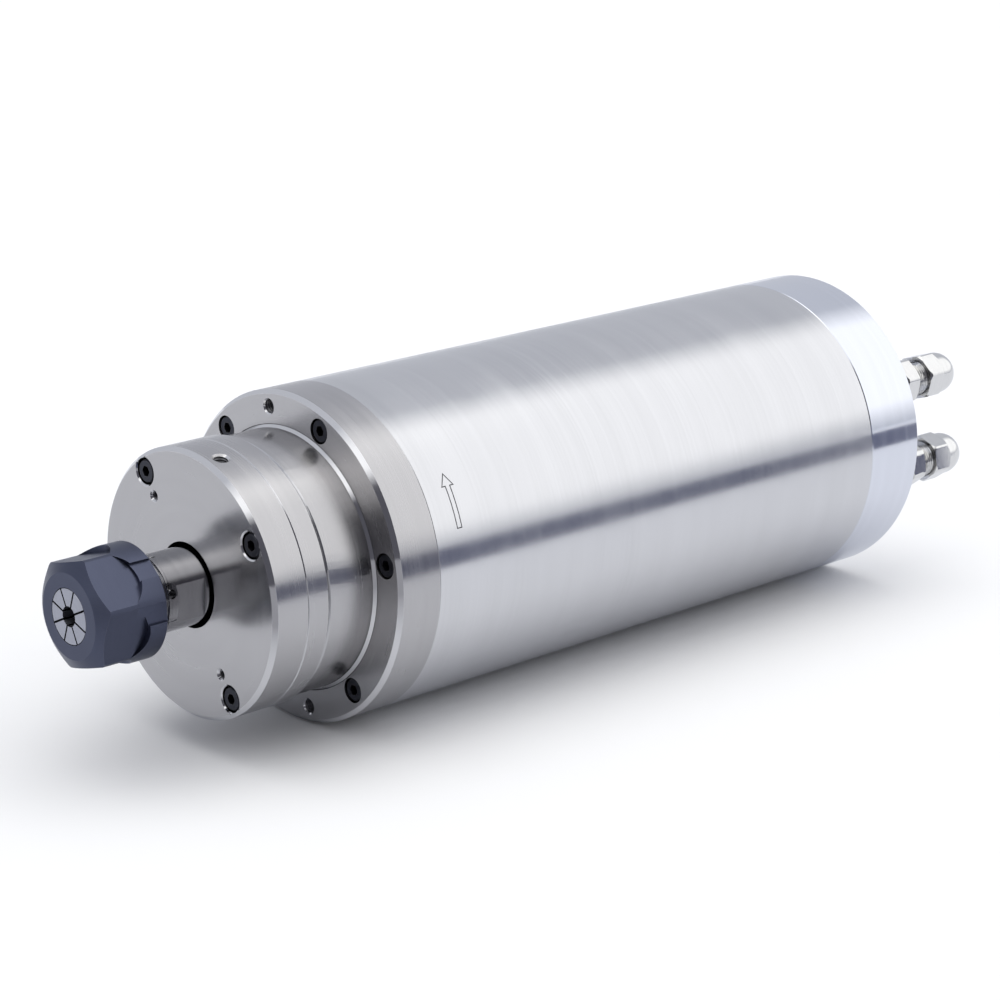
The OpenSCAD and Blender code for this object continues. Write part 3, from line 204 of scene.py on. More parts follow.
def make_wear_group():
    """A mask that is 1 on edges and corners, broken up as wear is."""
    group, given, result = new_group(
        "edge wear", [("Position", VECTOR, None), ("Width", FLOAT, 0.0004), ("Breaks", FLOAT, 900.0)],
        [("Mask", FLOAT)])
    rounded = put(group, "ShaderNodeBevel", None, {"Radius": given.outputs["Width"]}, samples=4)
    flat = group.nodes.new("ShaderNodeNewGeometry")
    facing = put(group, "ShaderNodeVectorMath", None,
                 {0: rounded.outputs[0], 1: flat.outputs["Normal"]}, operation="DOT_PRODUCT")
    edge = spread(group, facing.outputs["Value"], 0.995, 0.9)
    noise = put(group, "ShaderNodeTexNoise", {"Detail": 4.0, "Roughness": 0.7},
                {"Vector": given.outputs["Position"], "Scale": given.outputs["Breaks"]})
    broken = spread(group, noise.outputs["Fac"], 0.35, 0.6)
    group.links.new(maths(group, "MULTIPLY", edge, broken), result.inputs["Mask"])
    return group


def make_handling_group():
    """Soft clouds and small specks, as on metal that has been wiped and handled."""
    group, given, result = new_group(
        "handling marks", [("Position", VECTOR, None), ("Clouds", FLOAT, 30.0), ("Specks", FLOAT, 700.0)],
        [("Cloud", FLOAT), ("Speck", FLOAT)])
    cloud = put(group, "ShaderNodeTexNoise", {"Detail": 5.0, "Roughness": 0.6, "Distortion": 0.6},
                {"Vector": given.outputs["Position"], "Scale": given.outputs["Clouds"]})
    speck = put(group, "ShaderNodeTexNoise", {"Detail": 2.0, "Roughness": 0.5},
                {"Vector": given.outputs["Position"], "Scale": given.outputs["Specks"]})
    group.links.new(cloud.outputs["Fac"], result.inputs["Cloud"])
    group.links.new(spread(group, speck.outputs["Fac"], 0.66, 0.74), result.inputs["Speck"])
    return group


def make_painted_shade_group():
    """How open a place is, which drives painted shade: 0 deep in a hole, a seam or a slot, and 1 on a free
    face.
    """
    group, given, result = new_group("painted cavity shade", [("Reach", FLOAT, 0.003)], [("Open", FLOAT)])
    shade = put(group, "ShaderNodeAmbientOcclusion", None, {"Distance": given.outputs["Reach"]}, samples=6)
    group.links.new(spread(group, shade.outputs["AO"], 0.25, 0.85), result.inputs["Open"])
    return group


def make_slant_group():
    """A mask that is 1 on chamfers of 45 degrees round X, and 0 on flat faces and cylinders."""
    group, given, result = new_group("slanted faces", [], [("Mask", FLOAT)])
    flat = group.nodes.new("ShaderNodeNewGeometry")
    parts = put(group, "ShaderNodeSeparateXYZ", None, {0: flat.outputs["True Normal"]})
    along = maths(group, "ABSOLUTE", parts.outputs["X"])
    mask = maths(group, "MULTIPLY", spread(group, along, 0.58, 0.66), spread(group, along, 0.84, 0.76))
    group.links.new(mask, result.inputs["Mask"])
    return group


turning_group = make_turning_group()
wear_group = make_wear_group()
handling_group = make_handling_group()
painted_shade_group = make_painted_shade_group()
slant_group = make_slant_group()


def place_group(tree, group, values=None, links=None):
    """A node group in a material, with its own values."""
    node = tree.nodes.new("ShaderNodeGroup")
    node.node_tree = group
    for key, value in (values or {}).items():
        node.inputs[key].default_value = value
    for key, source in (links or {}).items():
        tree.links.new(source, node.inputs[key])
    return node


def start_material(name, axis=spindle_axis):
    """A new material, its Principled shader and the position measured from an axis along X."""
    material = bpy.data.materials.new(name)
    material.use_nodes = True
    tree = material.node_tree
    shader = tree.nodes["Principled BSDF"]
    coordinates = tree.nodes.new("ShaderNodeTexCoord")
    centred = put(tree, "ShaderNodeMapping", {"Location": (0, -axis[0], -axis[1])},
                  {"Vector": coordinates.outputs["Object"]})
    return material, tree, shader, centred.outputs[0]


def turned_metal(name, colour, roughness, axis=spindle_axis, lines=4000.0, bands=250.0, sway=0.6,
                 tone=0.06, unevenness=0.06, groove=0.0008, anisotropy=0.6, cloudiness=0.25,
                 worn_colour=None, worn_width=0.3, chamfer_polish_and_highlight=0.0, painted_shade_strength=0.25):
    """Metal finished by turning or grinding round an axis along X, with painted shade in its recesses and,
    where asked, a painted highlight on its chamfers.
    """
    material, tree, shader, position = start_material(name, axis)
    marks = place_group(tree, turning_group, {"Lines": lines, "Bands": bands, "Sway": sway},
                        {"Position": position})
    handled = place_group(tree, handling_group, None, {"Position": position})
    line = marks.outputs["Line"]
    band = marks.outputs["Band"]
    dark = tuple(c * (1 - tone) for c in colour)
    light = tuple(min(1.0, c * (1 + tone)) for c in colour)
    tint = blend_colour(tree, spread(tree, maths(tree, "ADD", line, band), 0.75, 1.25), dark, light)
    rough = maths(tree, "ADD", spread(tree, band, 0.3, 0.7, -unevenness / 2, unevenness / 2),
                  spread(tree, line, 0.3, 0.7, -unevenness / 2, unevenness / 2))
    cloud = spread(tree, handled.outputs["Cloud"], 0.35, 0.7, 0.0, cloudiness * roughness)
    rough = maths(tree, "ADD", maths(tree, "ADD", rough, cloud), roughness)
    if worn_colour:
        worn = place_group(tree, wear_group, {"Width": worn_width * MM}, {"Position": position})
        tint = blend_colour(tree, worn.outputs["Mask"], tint, worn_colour)
        rough = maths(tree, "MULTIPLY", rough, spread(tree, worn.outputs["Mask"], 0, 1, 1, 0.75))
    # Chamfers: lower roughness for their polish, and a painted highlight that lightens their colour
    if chamfer_polish_and_highlight:
        slant = place_group(tree, slant_group)
        polish_and_highlight = maths(tree, "MULTIPLY", slant.outputs["Mask"], chamfer_polish_and_highlight)
        rough = maths(tree, "MULTIPLY", rough, spread(tree, polish_and_highlight, 0, 1, 1, 0.4))
        tint = blend_colour(tree, maths(tree, "MULTIPLY", polish_and_highlight, 0.6), tint, PAINTED_CHAMFER_HIGHLIGHT)
    # Painted shade: the colour darkens towards near black in holes, seams and slots
    cavity = place_group(tree, painted_shade_group)
    tint = blend_colour(tree, spread(tree, cavity.outputs["Open"], 0, 1, 1 - painted_shade_strength, 0), tint,
                        PAINTED_CAVITY_SHADE)
    bump = put(tree, "ShaderNodeBump", {"Strength": 1.0, "Distance": groove * MM}, {"Height": line})
    tangent = tree.nodes.new("ShaderNodeTangent")
    tangent.direction_type = "RADIAL"
    tangent.axis = "X"
    tree.links.new(tint, shader.inputs["Base Color"])
    tree.links.new(maths(tree, "MAXIMUM", rough, 0.04), shader.inputs["Roughness"])
    tree.links.new(bump.outputs[0], shader.inputs["Normal"])
    tree.links.new(tangent.outputs[0], shader.inputs["Tangent"])
    shader.inputs["Metallic"].default_value = 1.0
    shader.inputs["Anisotropic"].default_value = anisotropy
    shader.inputs["Anisotropic Rotation"].default_value = 0.25
    return material


# Finishes, one for each material slot of the record

def ground_steel():
    """Cover, clamp ring and flange: satin steel, ground flat and turned round, with a painted highlight on
    its chamfers and painted shade in its recesses.
    """
    return turned_metal("ground steel", (0.505, 0.497, 0.50), 0.22, lines=5200, bands=380, tone=0.03,
                        unevenness=0.04, anisotropy=0.65, worn_colour=(0.80, 0.80, 0.80),
                        chamfer_polish_and_highlight=1.0, painted_shade_strength=0.5)


def tapped_steel_painted_dark():
    """Turns in the tapped holes: steel painted dark as shade inside the holes."""
    return turned_metal("tapped steel painted dark", (0.20, 0.20, 0.21), 0.36, lines=5200, bands=900, tone=0.08,
                        anisotropy=0.2)


def polished_tube():
    """Body tube: centreless ground stainless steel with faint clouds."""
    return turned_metal("polished tube", (0.69, 0.69, 0.70), 0.17, lines=2600, bands=120, sway=0.25,
                        tone=0.035, unevenness=0.03, groove=0.0003, anisotropy=0.55, cloudiness=0.5,
                        painted_shade_strength=0.75)


def cap_aluminium():
    """Rear cap: bright aluminium with a fine feed mark."""
    return turned_metal("cap aluminium", (0.78, 0.80, 0.86), 0.11, lines=5200, bands=500, tone=0.02,
                        unevenness=0.03, groove=0.0004, anisotropy=0.5, cloudiness=0.3,
                        painted_shade_strength=0.75)


def shaft_steel():
    """Shaft: hardened steel, ground bright."""
    return turned_metal("shaft steel", (0.50, 0.50, 0.515), 0.085, lines=6000, bands=600, tone=0.05,
                        unevenness=0.04, anisotropy=0.4)


def collet_steel():
    """Collet: spring steel with ground faces."""
    return turned_metal("collet steel", (0.40, 0.41, 0.46), 0.30, lines=6500, bands=900, tone=0.05,
                        unevenness=0.06, anisotropy=0.4)


def blued_steel():
    """Collet nut and lock nuts: blued steel that is worn bright along its edges."""
    return turned_metal("blued steel", (0.085, 0.094, 0.138), 0.31, lines=5000, bands=420, tone=0.03,
                        unevenness=0.04, anisotropy=0.2, cloudiness=0.4,
                        worn_colour=(0.13, 0.14, 0.19), worn_width=0.2, painted_shade_strength=0.7)


def black_screws():
    """Cap screws: black oxide, rubbed on the rims and in the sockets."""
    return turned_metal("black oxide", (0.045, 0.047, 0.058), 0.33, lines=3000, bands=900, tone=0.2,
                        unevenness=0.15, anisotropy=0.2, cloudiness=0.5,
                        worn_colour=(0.22, 0.215, 0.21), worn_width=0.18)


def bearing_steel():
    """Bearing rings, balls and the disc spring: polished hard steel."""
    return turned_metal("bearing steel", (0.64, 0.66, 0.69), 0.08, lines=7000, bands=900, tone=0.04,
                        unevenness=0.04, anisotropy=0.3, cloudiness=0.1)


def jacket_aluminium():
    """Water jacket and rear frame: machined aluminium."""
    return turned_metal("jacket aluminium", (0.74, 0.75, 0.77), 0.32, lines=2600, bands=500,
                        unevenness=0.12, groove=0.004, anisotropy=0.5)


def cast_aluminium():
    """Rotor cage: die cast aluminium, matt and grainy."""
    return turned_metal("cast aluminium", (0.66, 0.66, 0.68), 0.48, lines=900, bands=400,
                        unevenness=0.2, groove=0.02, anisotropy=0.0, cloudiness=0.6)


def nickel_plate(name="nickel plate", axis=spindle_axis):
    """Hose fittings and socket shell: bright nickel over turned brass."""
    return turned_metal(name, (0.77, 0.765, 0.75), 0.07, axis=axis, lines=4200, bands=900, tone=0.04,
                        unevenness=0.05, groove=0.003, anisotropy=0.3, cloudiness=0.5)


def pin_brass():
    """Contact pins: bright brass."""
    return turned_metal("pin brass", (0.80, 0.60, 0.28), 0.16, axis=socket_axis, lines=6000, bands=900,
                        tone=0.06, unevenness=0.05, anisotropy=0.2)


def lamination_steel():
    """Stator and rotor stacks: the edges of thin sheets."""
    material, tree, shader, position = start_material("lamination steel")
    sheets = put(tree, "ShaderNodeTexWave", {"Scale": 320.0, "Distortion": 0.4, "Detail": 2.0},
                 {"Vector": position}, wave_type="BANDS", bands_direction="X")
    handled = place_group(tree, handling_group, {"Clouds": 60.0}, {"Position": position})
    tree.links.new(blend_colour(tree, sheets.outputs["Fac"], (0.16, 0.165, 0.18), (0.40, 0.41, 0.43)),
                   shader.inputs["Base Color"])
    tree.links.new(spread(tree, handled.outputs["Cloud"], 0.3, 0.7, 0.4, 0.6), shader.inputs["Roughness"])
    bump = put(tree, "ShaderNodeBump", {"Strength": 0.6, "Distance": 0.05 * MM},
               {"Height": sheets.outputs["Fac"]})
    tree.links.new(bump.outputs[0], shader.inputs["Normal"])
    shader.inputs["Metallic"].default_value = 1.0
    return material


def winding_copper():
    """Stator winding: varnished copper wires that lie round the bore."""
    material, tree, shader, position = start_material("winding copper")
    wires = put(tree, "ShaderNodeTexWave", {"Scale": 260.0, "Distortion": 2.0, "Detail": 2.0},
                {"Vector": position}, wave_type="RINGS", rings_direction="X")
    tree.links.new(blend_colour(tree, wires.outputs["Fac"], (0.20, 0.07, 0.025), (0.62, 0.27, 0.10)),
                   shader.inputs["Base Color"])
    bump = put(tree, "ShaderNodeBump", {"Strength": 0.8, "Distance": 0.3 * MM},
               {"Height": wires.outputs["Fac"]})
    tree.links.new(bump.outputs[0], shader.inputs["Normal"])
    tree.links.new(spread(tree, wires.outputs["Fac"], 0, 1, 0.45, 0.25), shader.inputs["Roughness"])
    shader.inputs["Metallic"].default_value = 0.5
    shader.inputs["Coat Weight"].default_value = 0.5
    return material


def moulded(name, colour, light, roughness, grain=1800.0, depth=0.01, sheen=0.0):
    """Rubber, resin or plastic: a fine grain and soft clouds."""
    material, tree, shader, position = start_material(name)
    handled = place_group(tree, handling_group, {"Clouds": 90.0}, {"Position": position})
    grains = put(tree, "ShaderNodeTexNoise", {"Scale": grain, "Detail": 3.0, "Roughness": 0.6},
                 {"Vector": position})
    tree.links.new(blend_colour(tree, spread(tree, handled.outputs["Cloud"], 0.3, 0.7), colour, light),
                   shader.inputs["Base Color"])
    tree.links.new(spread(tree, grains.outputs["Fac"], 0.3, 0.7, roughness - 0.08, roughness + 0.08),
                   shader.inputs["Roughness"])
    bump = put(tree, "ShaderNodeBump", {"Strength": 0.7, "Distance": depth * MM},
               {"Height": grains.outputs["Fac"]})
    tree.links.new(bump.outputs[0], shader.inputs["Normal"])
    shader.inputs["Sheen Weight"].default_value = sheen
    return material


def seal_rubber():
    """Seals and the socket's gasket."""
    return moulded("seal rubber", (0.012, 0.012, 0.012), (0.035, 0.035, 0.035), 0.62, sheen=0.1)


def lead_insulation():
    """Sleeves of the motor leads."""
    return moulded("lead insulation", (0.20, 0.03, 0.02), (0.30, 0.06, 0.04), 0.5, sheen=0.1)


def socket_plastic():
    """Insulator of the power socket."""
    return moulded("socket plastic", (0.035, 0.035, 0.04), (0.06, 0.06, 0.065), 0.42)


def cage_resin():
    """Bearing cages: cotton cloth in resin."""
    return moulded("cage resin", (0.42, 0.24, 0.08), (0.60, 0.40, 0.18), 0.5, grain=900.0, depth=0.02)


FINISHES = {
    "ground_steel": ground_steel, "black_screws": black_screws, "bearing_steel": bearing_steel,
    "polished_tube": polished_tube, "jacket_aluminium": jacket_aluminium,
    "cap_aluminium": cap_aluminium, "seal_rubber": seal_rubber, "lamination_steel": lamination_steel,
    "winding_copper": winding_copper, "lead_insulation": lead_insulation, "nickel_plate": nickel_plate,
    "socket_plastic": socket_plastic, "pin_brass": pin_brass, "shaft_steel": shaft_steel,
    "blued_steel": blued_steel, "collet_steel": collet_steel, "cage_resin": cage_resin,
    "cast_aluminium": cast_aluminium,
}
finish = {slot: make() for slot, make in FINISHES.items()}

# Nickel pieces are turned round their own axes
inlet_nickel = nickel_plate("inlet nickel", inlet_axis)
outlet_nickel = nickel_plate("outlet nickel", outlet_axis)
socket_nickel = nickel_plate("socket nickel", socket_axis)
OWN_AXIS = {
    "inlet_fitting": inlet_nickel, "inlet_ferrule": inlet_nickel, "inlet_nut": inlet_nickel,
    "outlet_fitting": outlet_nickel, "outlet_ferrule": outlet_nickel, "outlet_nut": outlet_nickel,
    "socket_shell": socket_nickel,
}
# Painted shade: thread turns inside holes take a darker steel colour
tapped_painted_shade = tapped_steel_painted_dark()
slot_of = {part["node"]: part["material_slot"] for part in frame["record"]["subparts"]}


def dress_nodes():
    """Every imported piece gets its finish."""
    for name, node in frame["nodes"].items():
        material = OWN_AXIS.get(name, finish[slot_of[name]])
        if not node.material_slots:
            node.data.materials.append(material)
        for slot in node.material_slots:
            slot.material = material


dress_nodes()


# Mesh helpers

# How near counts as the same: for rims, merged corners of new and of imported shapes, and planes
NEAR = 0.03 * MM
MERGE = 0.001 * MM
NODE_MERGE = 0.0005 * MM
ON_PLANE = 0.001 * MM
PLANE_SLACK = 1e-7
FLAT_ACROSS = 0.9999


def turn(angle):
    """A turn round the spindle's axis, in degrees."""
    return Matrix.Rotation(math.radians(angle), 4, "X")


def new_piece(name, shape, body, slot, material=None, sharp=30.0):
    """A finished piece from a bmesh: it rides on a body and takes a finish. Faces square to the
    axis are shaded flat."""
    bmesh.ops.recalc_face_normals(shape, faces=shape.faces)
    for face in shape.faces:
        face.smooth = abs(face.normal.x) < FLAT_ACROSS
    for edge in shape.edges:
        if len(edge.link_faces) == 2:
            edge.smooth = edge.calc_face_angle(math.pi) < math.radians(sharp)
    mesh = bpy.data.meshes.new(name)
    shape.to_mesh(mesh)
    shape.free()
    piece = bpy.data.objects.new(name, mesh)
    bpy.context.scene.collection.objects.link(piece)
    mesh.materials.append(material or finish[slot])
    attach(piece, body)
    return piece


def copy_of(name):
    """A node's shape with its loose triangles joined."""
    shape = bmesh.new()
    shape.from_mesh(frame["nodes"][name].data)
    bmesh.ops.remove_doubles(shape, verts=shape.verts, dist=NODE_MERGE)
    return shape


def slice_shape(shape, place, normal, clear_outer=False):
    """New edges where a plane cuts a shape; what lies beyond the plane may be cleared."""
    bmesh.ops.bisect_plane(shape, geom=shape.verts[:] + shape.edges[:] + shape.faces[:],
                           dist=PLANE_SLACK, plane_co=place, plane_no=normal, clear_outer=clear_outer)


def cut_across(shape, x):
    """New edges where a plane across the axis cuts a shape."""
    slice_shape(shape, (x, 0, 0), (1, 0, 0))


def pulled_verts(pulled):
    """The vertices that an extrusion made."""
    return [item for item in pulled["geom"] if isinstance(item, bmesh.types.BMVert)]


def cut_groove(shape, axis, x0, x1, radius, floor_r):
    """A groove turned into a round surface of one radius, between x0 and x1."""
    for x in (x0, x1):
        cut_across(shape, x)

    def reach(vert):
        return math.hypot(vert.co.y - axis[0], vert.co.z - axis[1])

    near = 0.02 * MM
    skin = [face for face in shape.faces
            if all(x0 - ON_PLANE < v.co.x < x1 + ON_PLANE and abs(reach(v) - radius) < near
                   for v in face.verts)]
    pulled = bmesh.ops.extrude_face_region(shape, geom=skin)
    bmesh.ops.delete(shape, geom=skin, context="FACES")
    share = floor_r / radius
    for vert in pulled_verts(pulled):
        vert.co.y = axis[0] + (vert.co.y - axis[0]) * share
        vert.co.z = axis[1] + (vert.co.z - axis[1]) * share


def thread_sleeve(axis, x0, x1, crest_r, depth, pitch, inner_r, steps=40):
    """A closed sleeve with a right-hand thread outside, or inside when depth is negative."""
    shape = bmesh.new()
    root_r = crest_r - depth
    flat = pitch / 8
    start = x0 - pitch
    turns = math.ceil((x1 - x0) / pitch) + 2
    profile = [(0, root_r), (flat, root_r), (pitch / 2, crest_r), (pitch / 2 + flat, crest_r),
               (pitch, root_r)]
    verts = [shape.verts.new((start + x, 0, r)) for x, r in profile]
    edges = [shape.edges.new(pair) for pair in zip(verts, verts[1:])]
    bmesh.ops.spin(shape, geom=verts + edges, cent=(0, 0, 0), axis=(-1, 0, 0),
                   dvec=(pitch / steps, 0, 0), angle=math.tau * turns, steps=steps * turns,
                   use_merge=False)
    bmesh.ops.remove_doubles(shape, verts=shape.verts, dist=MERGE)
    for x, direction in ((x0, -1), (x1, 1)):
        slice_shape(shape, (x, 0, 0), (direction, 0, 0), clear_outer=True)
    inner_loops = []
    for x in (x0, x1):
        rim = [e for e in shape.edges
               if e.is_boundary and all(abs(v.co.x - x) < ON_PLANE for v in e.verts)]
        pulled = bmesh.ops.extrude_edge_only(shape, edges=rim)
        for vert in pulled_verts(pulled):
            reach = math.hypot(vert.co.y, vert.co.z)
            vert.co.y *= inner_r / reach
            vert.co.z *= inner_r / reach
        inner_loops += [e for e in pulled["geom"] if isinstance(e, bmesh.types.BMEdge)]
    bmesh.ops.bridge_loops(shape, edges=inner_loops)
    bmesh.ops.translate(shape, verts=shape.verts, vec=(0, axis[0], axis[1]))
    return shape


def move_rim(shape, axis, x, radius, new_radius, within=1.0):
    """Widens or narrows a round rim at x, where it lies within a distance of the spindle's axis."""
    for vert in shape.verts:
        y, z = vert.co.y - axis[0], vert.co.z - axis[1]
        reach = math.hypot(y, z)
        if (abs(vert.co.x - x) < NEAR and abs(reach - radius) < NEAR
                and math.hypot(vert.co.y, vert.co.z) < within):
            vert.co.y = axis[0] + y * new_radius / reach
            vert.co.z = axis[1] + z * new_radius / reach


def on_circle(radius, angle):
    """A place round the spindle as (y, z)."""
    return (-radius * math.sin(math.radians(angle)), radius * math.cos(math.radians(angle)))


def spun(profile, steps=128):
    """A closed outline of (x, r) points, turned round the spindle's axis."""
    shape = bmesh.new()
    verts = [shape.verts.new((x, 0, r)) for x, r in profile]
    edges = [shape.edges.new(pair) for pair in zip(verts, verts[1:] + verts[:1])]
    bmesh.ops.spin(shape, geom=verts + edges, cent=(0, 0, 0), axis=(1, 0, 0), angle=math.tau,
                   steps=steps, use_merge=True)
    bmesh.ops.remove_doubles(shape, verts=shape.verts, dist=MERGE)
    bmesh.ops.recalc_face_normals(shape, faces=shape.faces)
    return shape


def combine(shape, other, operation):
    """Two closed shapes joined, or one cut out of the other; both are used up."""
    pieces = []
    for part in (shape, other):
        mesh = bpy.data.meshes.new("part")
        part.to_mesh(mesh)
        part.free()
        pieces.append(bpy.data.objects.new("part", mesh))
        bpy.context.scene.collection.objects.link(pieces[-1])
    solver = pieces[0].modifiers.new("solver", "BOOLEAN")
    solver.operation = operation
    solver.solver = "EXACT"
    solver.object = pieces[1]
    result = bmesh.new()
    result.from_object(pieces[0], bpy.context.evaluated_depsgraph_get())
    for piece in pieces:
        mesh = piece.data
        bpy.data.objects.remove(piece)
        bpy.data.meshes.remove(mesh)
    return result


# Chamfers of the nose

def chamfer_cover():
    """The front cover with a chamfer round each screw's counterbore."""
    width, bore_r, rim_w = 0.4 * MM, 4.0 * MM, 1.3 * MM
    shape = copy_of("front_cover")
    cut_across(shape, face_x + width)
    for angle in COVER_SCREW_ANGLES:
        move_rim(shape, on_circle(cover_screw_reach, angle), face_x, bore_r, bore_r + width,
                 within=nose_r - rim_w)
    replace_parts(new_piece("chamfered_cover", shape, "housing", "ground_steel"), "front_cover")


def chamfer_ring():
    """The clamp ring with a wide chamfer at its rear edge."""
    width = 1.0 * MM
    start_x, end_x = neck_x - width, neck_x + 0.01 * MM
    shape = copy_of("clamp_ring")
    cut_across(shape, start_x)
    for vert in shape.verts:
        reach = math.hypot(vert.co.y, vert.co.z)
        limit = nose_r - (vert.co.x - start_x)
        if vert.co.x < end_x and reach > limit > nose_r - 1.2 * width:
            vert.co.y *= limit / reach
            vert.co.z *= limit / reach
    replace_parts(new_piece("chamfered_ring", shape, "housing", "ground_steel"), "clamp_ring")


def chamfer_housing():
    """The front housing with chamfers at its neck's front edge and round its tapped holes, and
    the fillet where the neck meets the flange."""
    width, mouth = 0.8 * MM, 0.4 * MM
    shape = copy_of("front_housing")
    cut_across(shape, neck_x + width)
    cut_across(shape, flange_x + mouth)
    move_rim(shape, spindle_axis, neck_x, neck_r, neck_r - width)
    for angle in FLANGE_TAP_ANGLES:
        move_rim(shape, on_circle(flange_tap_reach, angle), flange_x, M5_CORE_R, M5_CORE_R + mouth)
    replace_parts(new_piece("chamfered_housing", shape, "housing", "ground_steel"), "front_housing")
    toe_x, sunk_x = flange_x - width, flange_x + 0.3 * MM
    top_r, sunk_r = neck_r + width, neck_r - 0.2 * MM
    fillet = spun([(toe_x, neck_r), (flange_x + 0.02 * MM, top_r), (sunk_x, top_r),
                   (sunk_x, sunk_r), (toe_x, sunk_r)])
    new_piece("neck_fillet", fillet, "housing", "ground_steel")


chamfer_cover()
chamfer_ring()
chamfer_housing()


# Collet nut

def flat_cutter(end_x, width, low, high):
    """A milling cutter's path along -X with a round end, from one height to another."""
    steps = 24
    outline = [(end_x - width, -width / 2), (end_x - width, width / 2)]
    for step in range(steps + 1):
        angle = math.pi * (0.5 - step / steps)
        outline.append((end_x - width / 2 + math.cos(angle) * width / 2, math.sin(angle) * width / 2))
    shape = bmesh.new()
    face = shape.faces.new([shape.verts.new((x, y, low)) for x, y in outline])
    pulled = bmesh.ops.extrude_face_region(shape, geom=[face])
    bmesh.ops.translate(shape, verts=pulled_verts(pulled), vec=(0, 0, high - low))
    bmesh.ops.recalc_face_normals(shape, faces=shape.faces)
    return shape


def fill_collar():
    """The collet nut with two opposite pairs of notches in its collar."""
    slack, edge = 0.01 * MM, 0.7 * MM
    out_r, in_r, notch_r = 17 * MM, 14 * MM, 15.8 * MM
    collar_l, notch_w = 10 * MM, 6 * MM
    flats_l, flat_reach, cutter_w, first_flat = 15.5 * MM, 15 * MM, 20 * MM, 45.2
    outside_r, through_l = 19 * MM, 30 * MM
    end_x = nut_end_x - slack
    collar = spun([(nut_end_x - collar_l, in_r), (nut_end_x - collar_l, out_r - slack),
                   (nut_end_x - edge, out_r - slack), (end_x, out_r - edge), (end_x, in_r)], steps=144)
    for flat in range(6):
        cutter = flat_cutter(nut_x + flats_l + slack, cutter_w + 2 * slack, flat_reach - slack,
                             outside_r)
        bmesh.ops.transform(cutter, matrix=turn(first_flat + 60 * flat), verts=cutter.verts)
        collar = combine(collar, cutter, "DIFFERENCE")
    notch_top = 18 * MM
    notch_size = (through_l, notch_w + 2 * slack, 2 * (notch_top - notch_r + slack), 1)
    for angle in (42, 87, 222, 267):
        notch = bmesh.new()
        bmesh.ops.create_cube(notch, size=1.0, matrix=Matrix.Translation((nut_end_x, 0, notch_top))
                              @ Matrix.Diagonal(notch_size))
        bmesh.ops.transform(notch, matrix=turn(angle), verts=notch.verts)
        collar = combine(collar, notch, "DIFFERENCE")
    shape = combine(copy_of("collet_nut"), collar, "UNION")
    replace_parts(new_piece("milled_nut", shape, "collet_nut", "blued_steel", sharp=20), "collet_nut")


fill_collar()


# Threads

def thread_shaft():
    """The shaft with the nose thread that the collet nut runs on."""
    crest_r, floor_r, inner_r = 12.5 * MM, 11.45 * MM, 11.4 * MM
    depth, pitch = 0.92 * MM, 1.5 * MM
    x0 = collet_x + 6.8 * MM
    x1 = nut_end_x + 3.6 * MM
    shape = copy_of("shaft")
    cut_groove(shape, spindle_axis, x0, x1, crest_r, floor_r)
    piece = new_piece("threaded_shaft", shape, "spindle", "shaft_steel")
    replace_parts(piece, "shaft")
    turns = thread_sleeve(spindle_axis, x0, x1, crest_r, depth, pitch, inner_r, steps=64)
    new_piece("nose_thread", turns, "spindle", "shaft_steel")


def thread_fitting(name, axis, material):
    """A hose fitting with the thread of its neck."""
    crest_r, floor_r, inner_r = 6.0 * MM, 5.3 * MM, 5.25 * MM
    depth, pitch = 0.6 * MM, 1.0 * MM
    x0 = rear_x + 7.2 * MM
    x1 = rear_x + 18.6 * MM
    shape = copy_of(name)
    cut_groove(shape, axis, x0, x1, crest_r, floor_r)
    piece = new_piece("threaded_" + name, shape, "housing", "nickel_plate", material)
    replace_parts(piece, name)
    turns = thread_sleeve(axis, x0, x1, crest_r, depth, pitch, inner_r)
    new_piece(name + "_thread", turns, "housing", "nickel_plate", material)


def thread_socket():
    """The power socket's shell with the thread for the plug's ring."""
    crest_r, floor_r, inner_r = 8.0 * MM, 7.3 * MM, 7.25 * MM
    depth, pitch = 0.6 * MM, 1.0 * MM
    end_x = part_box("socket_shell")[1].x
    x0, x1 = end_x - 10.5 * MM, end_x - 0.8 * MM
    shape = copy_of("socket_shell")
    cut_groove(shape, socket_axis, x0, x1, crest_r, floor_r)
    piece = new_piece("threaded_socket_shell", shape, "housing", "nickel_plate", socket_nickel)
    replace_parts(piece, "socket_shell")
    turns = thread_sleeve(socket_axis, x0, x1, crest_r, depth, pitch, inner_r, steps=48)
    new_piece("socket_thread", turns, "housing", "nickel_plate", socket_nickel)


thread_shaft()
thread_fitting("inlet_fitting", inlet_axis, inlet_nickel)
thread_fitting("outlet_fitting", outlet_axis, outlet_nickel)
thread_socket()


def tapped_turns(core_r, pitch, length):
    """Thread turns that line a tapped hole along +X from x = 0."""
    crest_r, wall_r, depth = core_r - 0.3 * MM, core_r - 0.02 * MM, 0.22 * MM
    return thread_sleeve(spindle_axis, 0, length, crest_r, -depth, pitch, wall_r, steps=28)


def add_copy(target, shape, place):
    """Adds a bmesh to another at a place, and frees it."""
    bmesh.ops.transform(shape, matrix=place, verts=shape.verts)
    mesh = bpy.data.meshes.new("copy")
    shape.to_mesh(mesh)
    shape.free()
    target.from_mesh(mesh)
    bpy.data.meshes.remove(mesh)


